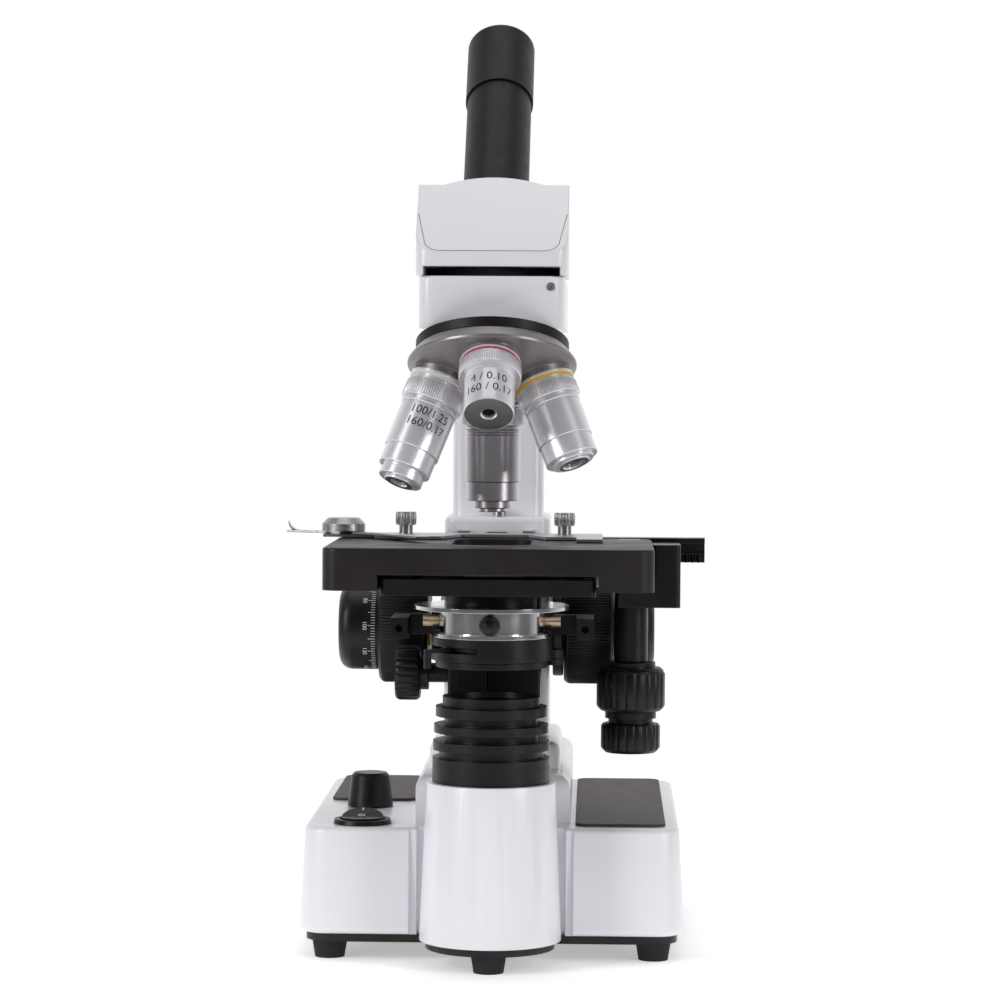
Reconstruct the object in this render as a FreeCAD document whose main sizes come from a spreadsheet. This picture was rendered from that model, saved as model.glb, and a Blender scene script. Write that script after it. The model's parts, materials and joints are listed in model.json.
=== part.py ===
"""A student's monocular microscope: stand, focusing stage, substage condenser, nosepiece and head.

+Z is up and -Y is the front. The origin is under the middle of the whole microscope, on the table.
Heights are counted from the table. Depths in the sheet are counted from the optical axis, and every
sub-part is set back by optical_axis_y at the end.
"""
import FreeCAD, Part
import math
import os
import Sketcher

Vector = FreeCAD.Vector

SIZES = {
    # the frame
    "optical_axis_y": -60.5,
    "fit_gap": 0.05,
    "slide_gap": 0.1,
    # feet and bottom plate
    "foot_top_radius": 7.2,
    "foot_toe_radius": 6.0,
    "front_foot_y": -17,
    "wing_foot_x": 65.7,
    "wing_foot_y": 17,
    "rear_foot_x": 62,
    "rear_foot_y": 168,
    "plate_bottom": 7.3,
    "plate_inset": 2.6,
    "base_screw_x": 58,
    "base_screw_front_y": 50,
    "base_screw_rear_y": 150,
    "base_screw_radius": 1.5,
    "base_screw_head_radius": 3,
    "base_screw_head": 2,
    "base_screw_length": 20,
    # base housing
    "base_bottom": 10.5,
    "base_half_width": 78,
    "base_front": 5.5,
    "base_rear": 181,
    "wing_top": 53.8,
    "wing_draft": 2.65,
    "wing_corner": 11,
    "wing_edge": 2.2,
    "base_foot_edge": 3,
    "side_wall": 4.5,
    "web_front": 11,
    "web_step": 3,
    "bulge_foot_radius": 28.5,
    "bulge_top_radius": 25.8,
    "bulge_top": 74,
    "notch_half_width": 33,
    "spine_half_width": 31.6,
    "spine_front": 26,
    "spine_rear": 176,
    "spine_top": 73.5,
    "spine_edge": 6,
    "hump_half_width": 27,
    "hump_front": 45,
    "hump_rear": 124,
    "hump_top": 85,
    "hump_edge": 4,
    "shell_wall": 3,
    "screw_post_radius": 4,
    # rest pads on the wings
    "pad_thickness": 1.2,
    "pad_corner": 5,
    "right_pad_inner": 33.8,
    "right_pad_outer": 70.4,
    "right_pad_front": 16,
    "right_pad_rear": 172,
    "left_pad_inner": 35.2,
    "left_pad_outer": 71,
    "left_pad_front": 92,
    "left_pad_rear": 176,
    # lamp house
    "collar_radius": 23.5,
    "collar_top": 80.3,
    "barrel_shoulder": 83.9,
    "wide_neck_radius": 20.9,
    "neck_radius": 18.7,
    "lower_ring_radius": 23.25,
    "lower_ring_bottom": 87,
    "lower_ring_top": 90.6,
    "middle_ring_radius": 22.9,
    "middle_ring_bottom": 93.9,
    "middle_ring_top": 97.1,
    "upper_ring_radius": 22.25,
    "upper_ring_bottom": 100.4,
    "upper_ring_top": 104.3,
    "lens_ring_radius": 19.5,
    "lens_ring_top": 108.3,
    "field_lens_drop": 2.5,
    "field_lens_rise": 1.8,
    "lamp_bore": 16.5,
    "lamp_ledge": 14,
    "led_board_bottom": 76,
    "led_board_thickness": 1.6,
    "led_radius": 4,
    "led_top": 80,
    # switch, dimmer and inlet
    "switch_x": -53,
    "switch_y": 22,
    "bezel_radius": 11.8,
    "bezel_rise": 1.8,
    "switch_bore": 9.4,
    "switch_barrel": 10.4,
    "switch_depth": 16,
    "rocker_radius": 8.5,
    "rocker_half_height": 3,
    "rocker_tilt": 9,
    "rocker_pivot_rise": 0.9,
    "dimmer_x": -53.4,
    "dimmer_y": 75,
    "dimmer_foot_radius": 9.65,
    "dimmer_top_radius": 8,
    "dimmer_bottom": 54.3,
    "dimmer_top": 68.3,
    "dimmer_shaft_radius": 3,
    "dimmer_shaft_bottom": 42,
    "dimmer_can_radius": 8.5,
    "dimmer_can_height": 10,
    "dimmer_bush_radius": 4.5,
    "inlet_x": -30,
    "inlet_z": 28,
    "inlet_radius": 5.5,
    "inlet_flange_radius": 7.5,
    "inlet_flange_start": 181.3,
    "inlet_flange": 1.5,
    "inlet_hole": 2.9,
    "inlet_pin": 0.9,
    "inlet_length": 14,
    # arm
    "arm_half_width": 22,
    "arm_front": 60,
    "arm_rear": 112,
    "arm_flange": 177.5,
    "column_half_width": 19,
    "column_front": 69,
    "column_rear": 100,
    "column_corner": 5,
    "crown_half_width": 28.5,
    "crown_front": -30,
    "crown_rear": 100,
    "crown_bottom": 254.7,
    "crown_top": 275,
    "crown_corner": 6,
    "wedge_half_width": 21,
    "wedge_rear": 24,
    "wedge_bottom": 234,
    "web_reach": 22,
    "light_bore": 9.5,
    "arm_screw_x": 14,
    "arm_screw_front_y": 80,
    "arm_screw_rear_y": 104,
    "arm_screw_radius": 2.5,
    "arm_screw_head_radius": 4,
    "arm_screw_head": 3,
    "arm_screw_length": 17,
    "stop_screw_x": 1,
    "stop_screw_y": 64.5,
    "stop_screw_radius": 3.1,
    "stop_screw_top": 180.9,
    "stop_screw_shank": 2,
    "lock_screw_x": 23,
    "lock_screw_z": 270.9,
    "lock_screw_radius": 1.6,
    # rack drives, all of one pitch
    "pinion_teeth": 15,
    "pinion_pitch_radius": 6,
    "tooth_add": 0.75,
    "tooth_ded": 1.05,
    "rack_tooth_width": 0.95,
    "pinion_tooth_width": 1.0,
    "tooth_slope": 0.36,
    # focusing
    "focus_y": 70,
    "focus_z": 130.4,
    "focus_rack_half_width": 3.5,
    "slot_half_width": 4.2,
    "slot_bottom": 92,
    "slot_top": 171,
    "gear_cave_radius": 8.2,
    "gear_cave_half_width": 5,
    "slide_half_width": 19,
    "slide_front": 31.4,
    "slide_rear": 55,
    "slide_bottom": 96,
    "guide_inner": 11,
    "guide_outer": 16,
    "guide_front": 50,
    "guide_bottom": 86,
    "guide_top": 172,
    "bush_radius": 8,
    "bush_reach": 28,
    "boss_radius": 14,
    "boss_reach": 23.4,
    "sleeve_radius": 4.8,
    "fine_shaft_radius": 3,
    "coarse_radius": 23,
    "coarse_inner": 28.3,
    "coarse_outer": 49,
    "fine_radius": 17.9,
    "fine_inner": 49.2,
    "fine_outer": 66,
    "fine_dome": 6.4,
    "fine_face_radius": 14.5,
    "tension_radius": 20,
    "tension_inner": 23.6,
    "tension_outer": 28,
    "knob_edge": 1.2,
    # stage
    "stage_half_width": 64,
    "stage_front": -55,
    "stage_rear": 37.7,
    "stage_bottom": 153.3,
    "stage_top": 169.8,
    "stage_corner": 7,
    "stage_edge": 1,
    "channel_half_width": 42.5,
    "channel_roof": 159.5,
    "opening_half_width": 15.5,
    "opening_front": -25,
    "opening_rear": 26,
    "opening_corner": 8,
    "lower_half_width": 41.5,
    "lower_front": -53,
    "lower_rear": 49.5,
    "lower_bottom": 151.4,
    "lower_top": 157.9,
    "lower_hole": 25,
    "rail_inner": 30,
    "rail_outer": 36,
    "drive_x": 56,
    "drive_y": 32.8,
    "y_rack_top": 156,
    "rack_bay_front": -2,
    "rack_bay_outer": 52,
    "pinion_bay_inner": 48,
    "pinion_bay_front": 24.5,
    "pinion_bay_roof": 165,
    "bracket_outer": 75.6,
    "bracket_front": 14,
    "bracket_rear": 37.6,
    "bracket_bottom": 143,
    "bracket_top": 168.4,
    "bracket_foot_inner": 50.6,
    "bracket_foot_top": 151,
    "bracket_edge": 2,
    "drive_sleeve_radius": 6.8,
    "drive_sleeve_bottom": 119.9,
    "y_shaft_radius": 3.4,
    "y_pinion_bottom": 152,
    "y_knob_radius": 13.4,
    "y_knob_neck": 10,
    "y_knob_top": 119.6,
    "y_knob_bottom": 99.8,
    "x_shaft_radius": 2,
    "x_pinion_bottom": 160.3,
    "x_pinion_top": 163.3,
    "x_knob_radius": 11.5,
    "x_knob_neck": 9,
    "x_knob_top": 96.9,
    "x_knob_bottom": 82.7,
    "knob_neck_height": 2.2,
    # cross slide
    "bar_left": -50,
    "bar_right": 86,
    "bar_front": 38,
    "bar_rear": 46,
    "bar_bottom": 160.1,
    "bar_top": 170.1,
    "x_rack_top": 163.5,
    "key_bottom": 164.2,
    "key_top": 167.8,
    "key_reach": 39.8,
    "key_half_length": 48,
    "holder_thickness": 1.2,
    "holder_left": -48,
    "holder_right": 44,
    "holder_mid_front": 33,
    "holder_tab_front": 14,
    "holder_tab_inner": 21,
    "jaw_inner": 33.5,
    "jaw_front": -3,
    "pivot_x": -62,
    "pivot_y": 33,
    "pivot_pin_radius": 2.5,
    "pivot_cap_radius": 8.8,
    "pivot_cap_height": 5.2,
    "finger_width": 6,
    "finger_thickness": 0.8,
    "finger_tip_x": -25.4,
    "finger_tip_y": -8,
    "finger_tail_x": -86,
    "finger_tail_y": 42,
    "holder_screw_left": -37,
    "holder_screw_right": 28.4,
    "holder_screw_y": 42.2,
    "holder_screw_radius": 4.05,
    "holder_screw_neck": 2.8,
    "holder_screw_head_bottom": 174.7,
    "holder_screw_top": 180,
    # condenser
    "condenser_flange_radius": 31,
    "condenser_flange_bottom": 143.2,
    "condenser_flange_top": 144.8,
    "condenser_body_radius": 21,
    "condenser_rim_radius": 24,
    "condenser_rim_bottom": 132.2,
    "condenser_rim_top": 133.8,
    "condenser_bore": 15,
    "lens_mount_radius": 18,
    "lens_mount_top": 154,
    "lens_top": 157,
    "iris_bottom": 123,
    "iris_slot_bottom": 126.4,
    "iris_slot_top": 128.9,
    "iris_wall_inner": 21,
    "iris_leaf_radius": 20.5,
    "iris_opening": 9,
    "iris_lever_angle": 222,
    "iris_lever_reach": 33,
    "iris_lever_width": 3,
    "iris_sweep": 30,
    "carrier_front": 8,
    "carrier_rear": 31.2,
    "carrier_bottom": 134.1,
    "carrier_top": 142.9,
    "carrier_half_width": 24.5,
    "cheek_inner": 33.8,
    "cheek_outer": 40.8,
    "cheek_front": 2,
    "cheek_bottom": 130.8,
    "cheek_top": 139,
    "cheek_bar_front": 25.5,
    "condenser_rack_left": -13,
    "condenser_rack_right": -3,
    "condenser_rack_front": 25.6,
    "condenser_knob_z": 114.2,
    "condenser_knob_y": 36,
    "condenser_knob_outer": -40.5,
    "condenser_knob_inner": -30.4,
    "condenser_knob_radius": 10.75,
    "condenser_hub_radius": 7,
    "condenser_hub_end": -27,
    "condenser_shaft_radius": 4,
    "filter_radius": 22.5,
    "filter_inner": 18,
    "filter_bottom": 120.2,
    "filter_top": 122.7,
    "filter_pivot_x": 24.5,
    "filter_pivot_y": 9,
    "filter_ear_radius": 4,
    "clamp_ball_radius": 4.2,
    "clamp_ball_y": -26.5,
    "clamp_z": 138.3,
    "clamp_shank": 1.4,
    "centring_radius": 2.3,
    "centring_end": 27.5,
    # nosepiece, measured down its own tilted axis from the point where all the axes meet
    "apex_z": 286,
    "turret_tilt": 20,
    "plate_top_drop": 39.6,
    "plate_drop": 43.5,
    "plate_radius": 30.2,
    "turret_top_drop": 43.7,
    "turret_rim_drop": 47.9,
    "turret_rim_radius": 33.3,
    "turret_nose_radius": 9,
    "shoulder_drop": 59,
    "socket_neck": 1.6,
    "socket_radius": 11.4,
    "thread_radius": 10,
    "thread_length": 4.5,
    "turret_light_radius": 8,
    "pivot_radius": 3,
    "pivot_head_radius": 6,
    "pivot_head_drop": 61.2,
    "pivot_head": 2.4,
    "pivot_start": 26,
    "lens_radius": 3.2,
    "lens_thickness": 1.2,
    # head
    "seat_radius": 25.5,
    "seat_top": 278.4,
    "head_half_width": 29.75,
    "head_front": -32,
    "head_rear": 31,
    "head_bottom": 275.3,
    "head_band_top": 284.7,
    "ridge_y": -5,
    "ridge_z": 311.7,
    "dome_rise": 3.2,
    "dome_half_width": 20,
    "head_corner": 6,
    "gap_half_width": 26.6,
    "gap_top": 278.7,
    "seat_clearance": 26.4,
    "cavity_half_width": 20,
    "cavity_front": -16,
    "cavity_rear": 14,
    "cavity_top": 294,
    "prism_half_width": 10,
    "prism_bottom": 280.5,
    "tube_origin_z": 290,
    "tube_lean": 45,
    "tube_radius": 13.25,
    "tube_bore": 11.65,
    "tube_start": 9,
    "tube_end": 83.2,
    "eyepiece_radius": 14,
    "eyepiece_shank": 11.6,
    "eyepiece_shank_start": 62,
    "eyepiece_start": 83.4,
    "eyepiece_end": 119.5,
    "eyepiece_edge": 2,
    "eye_bore": 9,
    "eye_lens_start": 114.5,
    "eye_lens_end": 117.8,
}

# Each objective down its barrel from the shoulder: (length of the step, radius of the step).
OBJECTIVES = {
    "objective_4x": [(1.3, 12.0), (0.8, 11.2), (6.0, 12.15), (1.5, 9.7), (15.8, 9.85)],
    "objective_10x": [
        (1.3, 12.0), (2.0, 11.2), (6.0, 12.15), (1.4, 10.6), (1.0, 11.3), (1.0, 10.6),
        (14.0, 11.0), (7.6, 10.5), (1.4, 8.5), (0.7, 6.5),
    ],
    "objective_40x": [
        (1.3, 12.0), (2.0, 11.2), (7.6, 12.15), (1.4, 10.6), (1.0, 11.3), (1.0, 10.6),
        (18.7, 11.0), (7.5, 10.4), (3.0, 7.5), (1.5, 5.5),
    ],
    "objective_100x": [
        (1.3, 12.0), (2.3, 11.2), (7.6, 12.15), (1.4, 10.6), (1.0, 11.3), (1.0, 10.6),
        (17.2, 11.0), (7.6, 10.4), (1.4, 8.4), (3.2, 8.8), (1.0, 6.0),
    ],
}
# The turn about the nosepiece's axis that brings each objective to its place.
OBJECTIVE_TURNS = {"objective_40x": 0, "objective_10x": 90, "objective_4x": 180, "objective_100x": 270}


class Size:
    """A length with the spreadsheet formula that it is worked out from."""

    def __init__(self, formula, value):
        self.formula = formula
        self.value = value

    @staticmethod
    def of(number):
        if isinstance(number, Size):
            return number
        return Size(f"({number:.9g})", float(number))

    def joined(self, sign, other, value):
        return Size(f"({self.formula} {sign} {Size.of(other).formula})", value)

    def __add__(self, other):
        return self.joined("+", other, self.value + Size.of(other).value)

    def __sub__(self, other):
        return self.joined("-", other, self.value - Size.of(other).value)

    def __mul__(self, other):
        return self.joined("*", other, self.value * Size.of(other).value)

    def __truediv__(self, other):
        return self.joined("/", other, self.value / Size.of(other).value)

    def __neg__(self):
        return Size.of(0) - self

    def __radd__(self, other):
        return Size.of(other) + self

    def __rsub__(self, other):
        return Size.of(other) - self

    def __rmul__(self, other):
        return Size.of(other) * self


class SheetSizes:
    """Gives each spreadsheet cell as a Size, by its alias."""

    def __getattr__(self, alias):
        return Size(f"Sizes.{alias}", float(SIZES[alias]))


doc = FreeCAD.newDocument("Microscope")
s = SheetSizes()
sub_parts = {}


def write_sheet():
    sheet = doc.addObject("Spreadsheet::Sheet", "Sizes")
    for row, (alias, value) in enumerate(SIZES.items(), start=1):
        sheet.set(f"A{row}", alias)
        sheet.set(f"B{row}", str(value))
        sheet.setAlias(f"B{row}", alias)
    doc.recompute()


# Binding and placing


def bind(thing, name, number):
    thing.setExpression(name, Size.of(number).formula)


def put(thing, x=0, y=0, z=0, axis=None, angle=0):
    """Stand a thing at a place, turned about an axis by a bound angle."""
    if axis is not None:
        turn = FreeCAD.Rotation(Vector(*axis), Size.of(angle).value)
        thing.Placement = FreeCAD.Placement(Vector(), turn)
        if isinstance(angle, Size):
            bind(thing, "Placement.Rotation.Angle", angle)
    for letter, number in zip("xyz", (x, y, z)):
        if isinstance(number, Size) or number:
            bind(thing, f"Placement.Base.{letter}", number)
    return thing


def sub_part(label, thing, x=0, y=0, z=0, axis=None, angle=0):
    """Name a finished piece and set it back from the optical axis to the microscope's own origin."""
    put(thing, x, s.optical_axis_y + y, z, axis, angle)
    thing.Label = label
    sub_parts[label] = thing
    return thing


# Sketched pieces


def new_sketch(body, role):
    plane = next(feature for feature in body.Origin.OriginFeatures if feature.Role == role)
    sketch = body.newObject("Sketcher::SketchObject", "Sketch")
    sketch.AttachmentSupport = (plane, [""])
    sketch.MapMode = "FlatFace"
    return sketch


def fix_point(sketch, edge, end, point):
    """Tie one end of an edge to its bound coordinates."""
    for kind, axis, number in (("DistanceX", -2, point[0]), ("DistanceY", -1, point[1])):
        size = Size.of(number)
        if abs(size.value) < 1e-9:
            sketch.addConstraint(Sketcher.Constraint("PointOnObject", edge, end, axis))
        else:
            index = sketch.addConstraint(Sketcher.Constraint(kind, -1, 1, edge, end, size.value))
            if isinstance(number, Size):
                sketch.setExpression(f"Constraints[{index}]", size.formula)


def draw_outline(sketch, points):
    """Draw a closed outline of straight edges, each corner bound to the sheet."""
    corners = [Vector(Size.of(a).value, Size.of(b).value, 0) for a, b in points]
    count = len(corners)
    for index in range(count):
        sketch.addGeometry(Part.LineSegment(corners[index], corners[(index + 1) % count]), False)
    for index in range(count):
        sketch.addConstraint(Sketcher.Constraint("Coincident", index, 2, (index + 1) % count, 1))
    for index, point in enumerate(points):
        fix_point(sketch, index, 1, point)


def turned(name, profile):
    """A turned piece about its own Z axis, from a profile of (radius, height) corners."""
    body = doc.addObject("PartDesign::Body", name)
    sketch = new_sketch(body, "XZ_Plane")
    draw_outline(sketch, profile)
    spin = body.newObject("PartDesign::Revolution", "Spin")
    spin.Profile = sketch
    spin.ReferenceAxis = (sketch, ["V_Axis"])
    spin.Angle = 360
    return body


def ring(name, inner, outer, bottom, top):
    return turned(name, [(inner, bottom), (outer, bottom), (outer, top), (inner, top)])


def disc(name, radius, bottom, top):
    return ring(name, 0, radius, bottom, top)


def prism(name, role, outline, length, symmetric=False, draft=None):
    """A straight piece with a given outline, drawn on one of its own planes."""
    body = doc.addObject("PartDesign::Body", name)
    sketch = new_sketch(body, role)
    draw_outline(sketch, outline)
    pad = body.newObject("PartDesign::Pad", "Pad")
    pad.Profile = sketch
    pad.Midplane = symmetric
    bind(pad, "Length", length)
    if draft is not None:
        bind(pad, "TaperAngle", -draft)
    return body


def block(name, x, y, z, corner=None, edge=None, edge_at="top", draft=None):
    """A block between three pairs of bounds, with rounded upright corners and a rounded top edge."""
    outline = [(x[0], y[0]), (x[1], y[0]), (x[1], y[1]), (x[0], y[1])]
    body = prism(name, "XY_Plane", outline, z[1] - z[0], draft=draft)
    if corner is not None:
        round_edges(body, corner, is_upright)
    if edge is not None:
        heights = {"top": [z[1] - z[0]], "bottom": [0], "both": [0, z[1] - z[0]]}[edge_at]
        round_edges(body, edge, lambda line: any(is_level(line, height) for height in heights))
    return put(body, 0, 0, z[0])


def is_upright(line):
    start, end = line.Vertexes[0].Point, line.Vertexes[-1].Point
    rise = abs(end.z - start.z)
    return rise > 1e-6 and rise > 0.9 * (end - start).Length


def is_level(line, height):
    level = Size.of(height).value
    return all(abs(vertex.Point.z - level) < 1e-6 for vertex in line.Vertexes)


def round_edges(body, radius, choose):
    """Round the edges of a body's newest shape that a test picks out."""
    doc.recompute()
    tip = body.Tip
    names = [f"Edge{number}" for number, line in enumerate(tip.Shape.Edges, start=1) if choose(line)]
    fillet = body.newObject("PartDesign::Fillet", "Round")
    fillet.Base = (tip, names)
    bind(fillet, "Radius", radius)
    doc.recompute()
    return body


# Joined and cut pieces


def fused(name, pieces):
    union = doc.addObject("Part::MultiFuse", name)
    union.Shapes = pieces
    union.Refine = True
    return union


def grouped(name, pieces):
    """Separate solids of one kind kept together."""
    group = doc.addObject("Part::Compound", name)
    group.Links = pieces
    return group


def cut(name, base, tools):
    tool = tools[0] if len(tools) == 1 else fused(f"{name}_tools", tools)
    piece = doc.addObject("Part::Cut", name)
    piece.Base = base
    piece.Tool = tool
    piece.Refine = True
    return piece


def rod(name, radius, start, end, x=0, y=0, z=0, along="z"):
    """A plain cylinder between two stations along X, Y or Z."""
    cylinder = doc.addObject("Part::Cylinder", name)
    bind(cylinder, "Radius", radius)
    bind(cylinder, "Height", Size.of(end) - start)
    axes = {"z": None, "x": (0, 1, 0), "y": (-1, 0, 0)}
    stations = {"x": (start, y, z), "y": (x, start, z), "z": (x, y, start)}
    return put(cylinder, *stations[along], axes[along], 90)


def box(name, x, y, z):
    """A plain box between three pairs of bounds."""
    cuboid = doc.addObject("Part::Box", name)
    for side, bounds in zip(("Length", "Width", "Height"), (x, y, z)):
        bind(cuboid, side, Size.of(bounds[1]) - bounds[0])
    return put(cuboid, x[0], y[0], z[0])


def mirrored_boxes(name, inner, outer, y, z):
    return [box(name, (inner, outer), y, z), box(name, (-outer, -inner), y, z)]


# Racks and pinions


def tooth_pitch():
    return s.pinion_pitch_radius * (2 * math.pi) / s.pinion_teeth


def pinion(name, bottom, top, bore):
    """A bored spur pinion about Z with one tooth gap facing +X."""
    body = disc(name, s.pinion_pitch_radius + s.tooth_add, 0, Size.of(top) - bottom)
    root = s.pinion_pitch_radius - s.tooth_ded
    mouth = s.pinion_pitch_radius + s.tooth_add + 0.5
    half_gap = (tooth_pitch() - s.pinion_tooth_width) / 2
    half_root = half_gap - s.tooth_ded * s.tooth_slope
    half_mouth = half_gap + (s.tooth_add + 0.5) * s.tooth_slope
    sketch = new_sketch(body, "XY_Plane")
    draw_outline(sketch, [(root, -half_root), (mouth, -half_mouth), (mouth, half_mouth), (root, half_root)])
    gap = body.newObject("PartDesign::Pocket", "Gap")
    gap.Profile = sketch
    gap.Midplane = True
    bind(gap, "Length", (Size.of(top) - bottom) * 3)
    doc.recompute()
    around = body.newObject("PartDesign::PolarPattern", "Around")
    around.Originals = [gap]
    around.Axis = (sketch, ["N_Axis"])
    around.Angle = 360
    bind(around, "Occurrences", s.pinion_teeth)
    body.Tip = around
    put(body, 0, 0, bottom)
    return cut(f"{name}Bored", body, [rod(f"{name}Bore", bore, Size.of(bottom) - 1, Size.of(top) + 1)])


def rack(name, teeth, thickness, width):
    """A rack along Z from 0, its pitch line at X 0, with teeth towards +X centred half a pitch in."""
    root = -s.tooth_ded
    length = tooth_pitch() * teeth
    back = root - thickness
    base = prism(name, "XZ_Plane", [(back, 0), (root, 0), (root, length), (back, length)], width, True)
    half_root = s.rack_tooth_width / 2 + s.tooth_ded * s.tooth_slope
    half_tip = s.rack_tooth_width / 2 - s.tooth_add * s.tooth_slope
    middle = tooth_pitch() / 2
    heel = root - 0.2
    sketch = new_sketch(base, "XZ_Plane")
    draw_outline(sketch, [(heel, middle - half_root), (s.tooth_add, middle - half_tip),
                          (s.tooth_add, middle + half_tip), (heel, middle + half_root)])
    tooth = base.newObject("PartDesign::Pad", "Tooth")
    tooth.Profile = sketch
    tooth.Midplane = True
    bind(tooth, "Length", width)
    doc.recompute()
    row = base.newObject("PartDesign::LinearPattern", "Row")
    row.Originals = [tooth]
    row.Direction = (sketch, ["V_Axis"])
    bind(row, "Length", tooth_pitch() * (teeth - 1))
    row.Occurrences = teeth
    base.Tip = row
    return base


# The turns that lay a pinion along X with its gap facing forwards, and a rack along X or Y
LAID_ALONG_X = ((-1, 1, -1), 120)
LAID_ALONG_Y = ((-1, 0, 0), 90)
TEETH_BACKWARDS = ((0, 0, 1), 90)


def rack_start(station, teeth_before):
    """Where a rack starts so that a tooth is centred on its pinion's station."""
    return station - tooth_pitch() * (teeth_before + 0.5)


# Base


def wing_places(x, front_y, rear_y):
    return [(x, front_y), (-x, front_y), (x, rear_y), (-x, rear_y)]


def base_screw_places():
    return wing_places(s.base_screw_x, s.base_screw_front_y, s.base_screw_rear_y)


def arm_screw_places():
    return wing_places(s.arm_screw_x, s.arm_screw_front_y, s.arm_screw_rear_y)


def make_rubber_feet():
    toe = [(0, 0), (s.foot_toe_radius, 0), (s.foot_top_radius, s.plate_bottom), (0, s.plate_bottom)]
    places = [(0, s.front_foot_y)]
    places += wing_places(s.wing_foot_x, s.wing_foot_y, s.wing_foot_y)[:2]
    places += wing_places(s.rear_foot_x, s.rear_foot_y, s.rear_foot_y)[:2]
    sub_part("rubber_feet", grouped("Feet", [put(turned("Foot", toe), x, y) for x, y in places]))


def make_base_plate():
    half = s.base_half_width - s.plate_inset
    depth = (s.base_front + s.plate_inset, s.base_rear - s.plate_inset)
    wings = block("PlateWings", (-half, half), depth, (s.plate_bottom, s.base_bottom), s.wing_corner)
    tongue = disc("PlateTongue", s.bulge_foot_radius - s.plate_inset, s.plate_bottom, s.base_bottom)
    holes = [rod("PlateHole", s.base_screw_radius, s.plate_bottom - 1, s.base_bottom + 1, x, y)
             for x, y in base_screw_places()]
    sub_part("base_plate", cut("Plate", fused("PlateWhole", [wings, tongue]), holes))


def base_screws():
    head_bottom = s.plate_bottom - s.base_screw_head
    tip = s.plate_bottom + s.base_screw_length
    profile = [(0, head_bottom), (s.base_screw_head_radius, head_bottom),
               (s.base_screw_head_radius, s.plate_bottom), (s.base_screw_radius, s.plate_bottom),
               (s.base_screw_radius, tip), (0, tip)]
    return [put(turned("BaseScrew", profile), x, y) for x, y in base_screw_places()]


def base_outside():
    wings = block("Wings", (-s.base_half_width, s.base_half_width), (s.base_front, s.base_rear),
                  (s.base_bottom, s.wing_top), s.wing_corner, s.wing_edge, draft=s.wing_draft)
    round_edges(wings, s.base_foot_edge, lambda line: is_level(line, 0))
    notches = [box("Notch", (-half, half), (0, rear), (s.base_bottom - 1, s.wing_top + 1))
               for half, rear in ((s.notch_half_width, s.web_front - s.web_step),
                                  (s.notch_half_width - s.web_step, s.web_front))]
    spine = block("Spine", (-s.spine_half_width, s.spine_half_width), (s.spine_front, s.spine_rear),
                  (s.base_bottom, s.spine_top), edge=s.spine_edge)
    hump = block("Hump", (-s.hump_half_width, s.hump_half_width), (s.hump_front, s.hump_rear),
                 (s.wing_top, s.hump_top), s.spine_edge, s.hump_edge)
    bulge = turned("Bulge", [(0, s.base_bottom), (s.bulge_foot_radius, s.base_bottom),
                             (s.bulge_top_radius, s.bulge_top), (0, s.bulge_top)])
    return fused("BaseOutside", [cut("NotchedWings", wings, notches), spine, hump, bulge])


def base_hollows():
    wall = s.shell_wall
    below = s.base_bottom - 1
    side = s.base_half_width - s.side_wall
    inner = s.spine_front + wall
    wing_roof = s.wing_top - wall
    inside = block("WingInside", (-side, side), (s.base_front + s.side_wall, s.base_rear - s.side_wall),
                   (below, wing_roof), s.wing_corner - s.side_wall, draft=s.wing_draft)
    web = box("Web", (-s.notch_half_width - wall, s.notch_half_width + wall), (0, s.web_front + wall),
              (below - 1, wing_roof + 1))
    hollows = [cut("WingHollow", inside, [web])]
    hollows.append(box("SpineHollow", (wall - s.spine_half_width, s.spine_half_width - wall),
                       (inner, s.spine_rear - wall), (below, s.spine_top - wall)))
    hollows.append(box("HumpHollow", (wall + 1 - s.hump_half_width, s.hump_half_width - wall - 1),
                       (s.hump_front + wall + 1, s.hump_rear - wall - 1), (s.wing_top, s.hump_top - wall - 1)))
    roof = s.bulge_top - wall
    hollows.append(turned("BulgeHollow", [(0, below), (s.bulge_foot_radius - wall, below),
                                          (s.bulge_top_radius - wall, roof), (0, roof)]))
    hollows.append(rod("LampHole", s.lamp_ledge, roof - 1, s.bulge_top + 1))
    return hollows


def make_base_housing():
    wing_roof = s.wing_top - s.shell_wall
    shell = cut("BaseShell", base_outside(), base_hollows())
    posts = [rod("Post", s.screw_post_radius, s.base_bottom, wing_roof + 1, x, y) for x, y in base_screw_places()]
    holes = [rod("PostHole", s.base_screw_radius, s.base_bottom - 1, s.plate_bottom + s.base_screw_length, x, y)
             for x, y in base_screw_places()]
    holes += [rod("ArmScrewHole", s.arm_screw_radius, s.hump_top - 8, s.hump_top + 1, x, y)
              for x, y in arm_screw_places()]
    holes.append(rod("SwitchHole", s.switch_barrel, wing_roof - 1, s.wing_top + 1, s.switch_x, s.switch_y))
    holes.append(rod("DimmerHole", s.dimmer_bush_radius, wing_roof - 1, s.wing_top + 1, s.dimmer_x, s.dimmer_y))
    holes.append(rod("InletHole", s.inlet_radius, s.spine_rear - 8, s.base_rear + 1,
                     x=s.inlet_x, z=s.inlet_z, along="y"))
    sub_part("base_housing", cut("Base", fused("BaseWithPosts", [shell] + posts), holes))


def make_rest_pads():
    level = (s.wing_top, s.wing_top + s.pad_thickness)
    right = block("RightPad", (s.right_pad_inner, s.right_pad_outer), (s.right_pad_front, s.right_pad_rear),
                  level, s.pad_corner, s.pad_thickness / 3)
    left = block("LeftPad", (-s.left_pad_outer, -s.left_pad_inner), (s.left_pad_front, s.left_pad_rear),
                 level, s.pad_corner, s.pad_thickness / 3)
    sub_part("rest_pads", grouped("Pads", [right, left]))


# Lamp house


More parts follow.
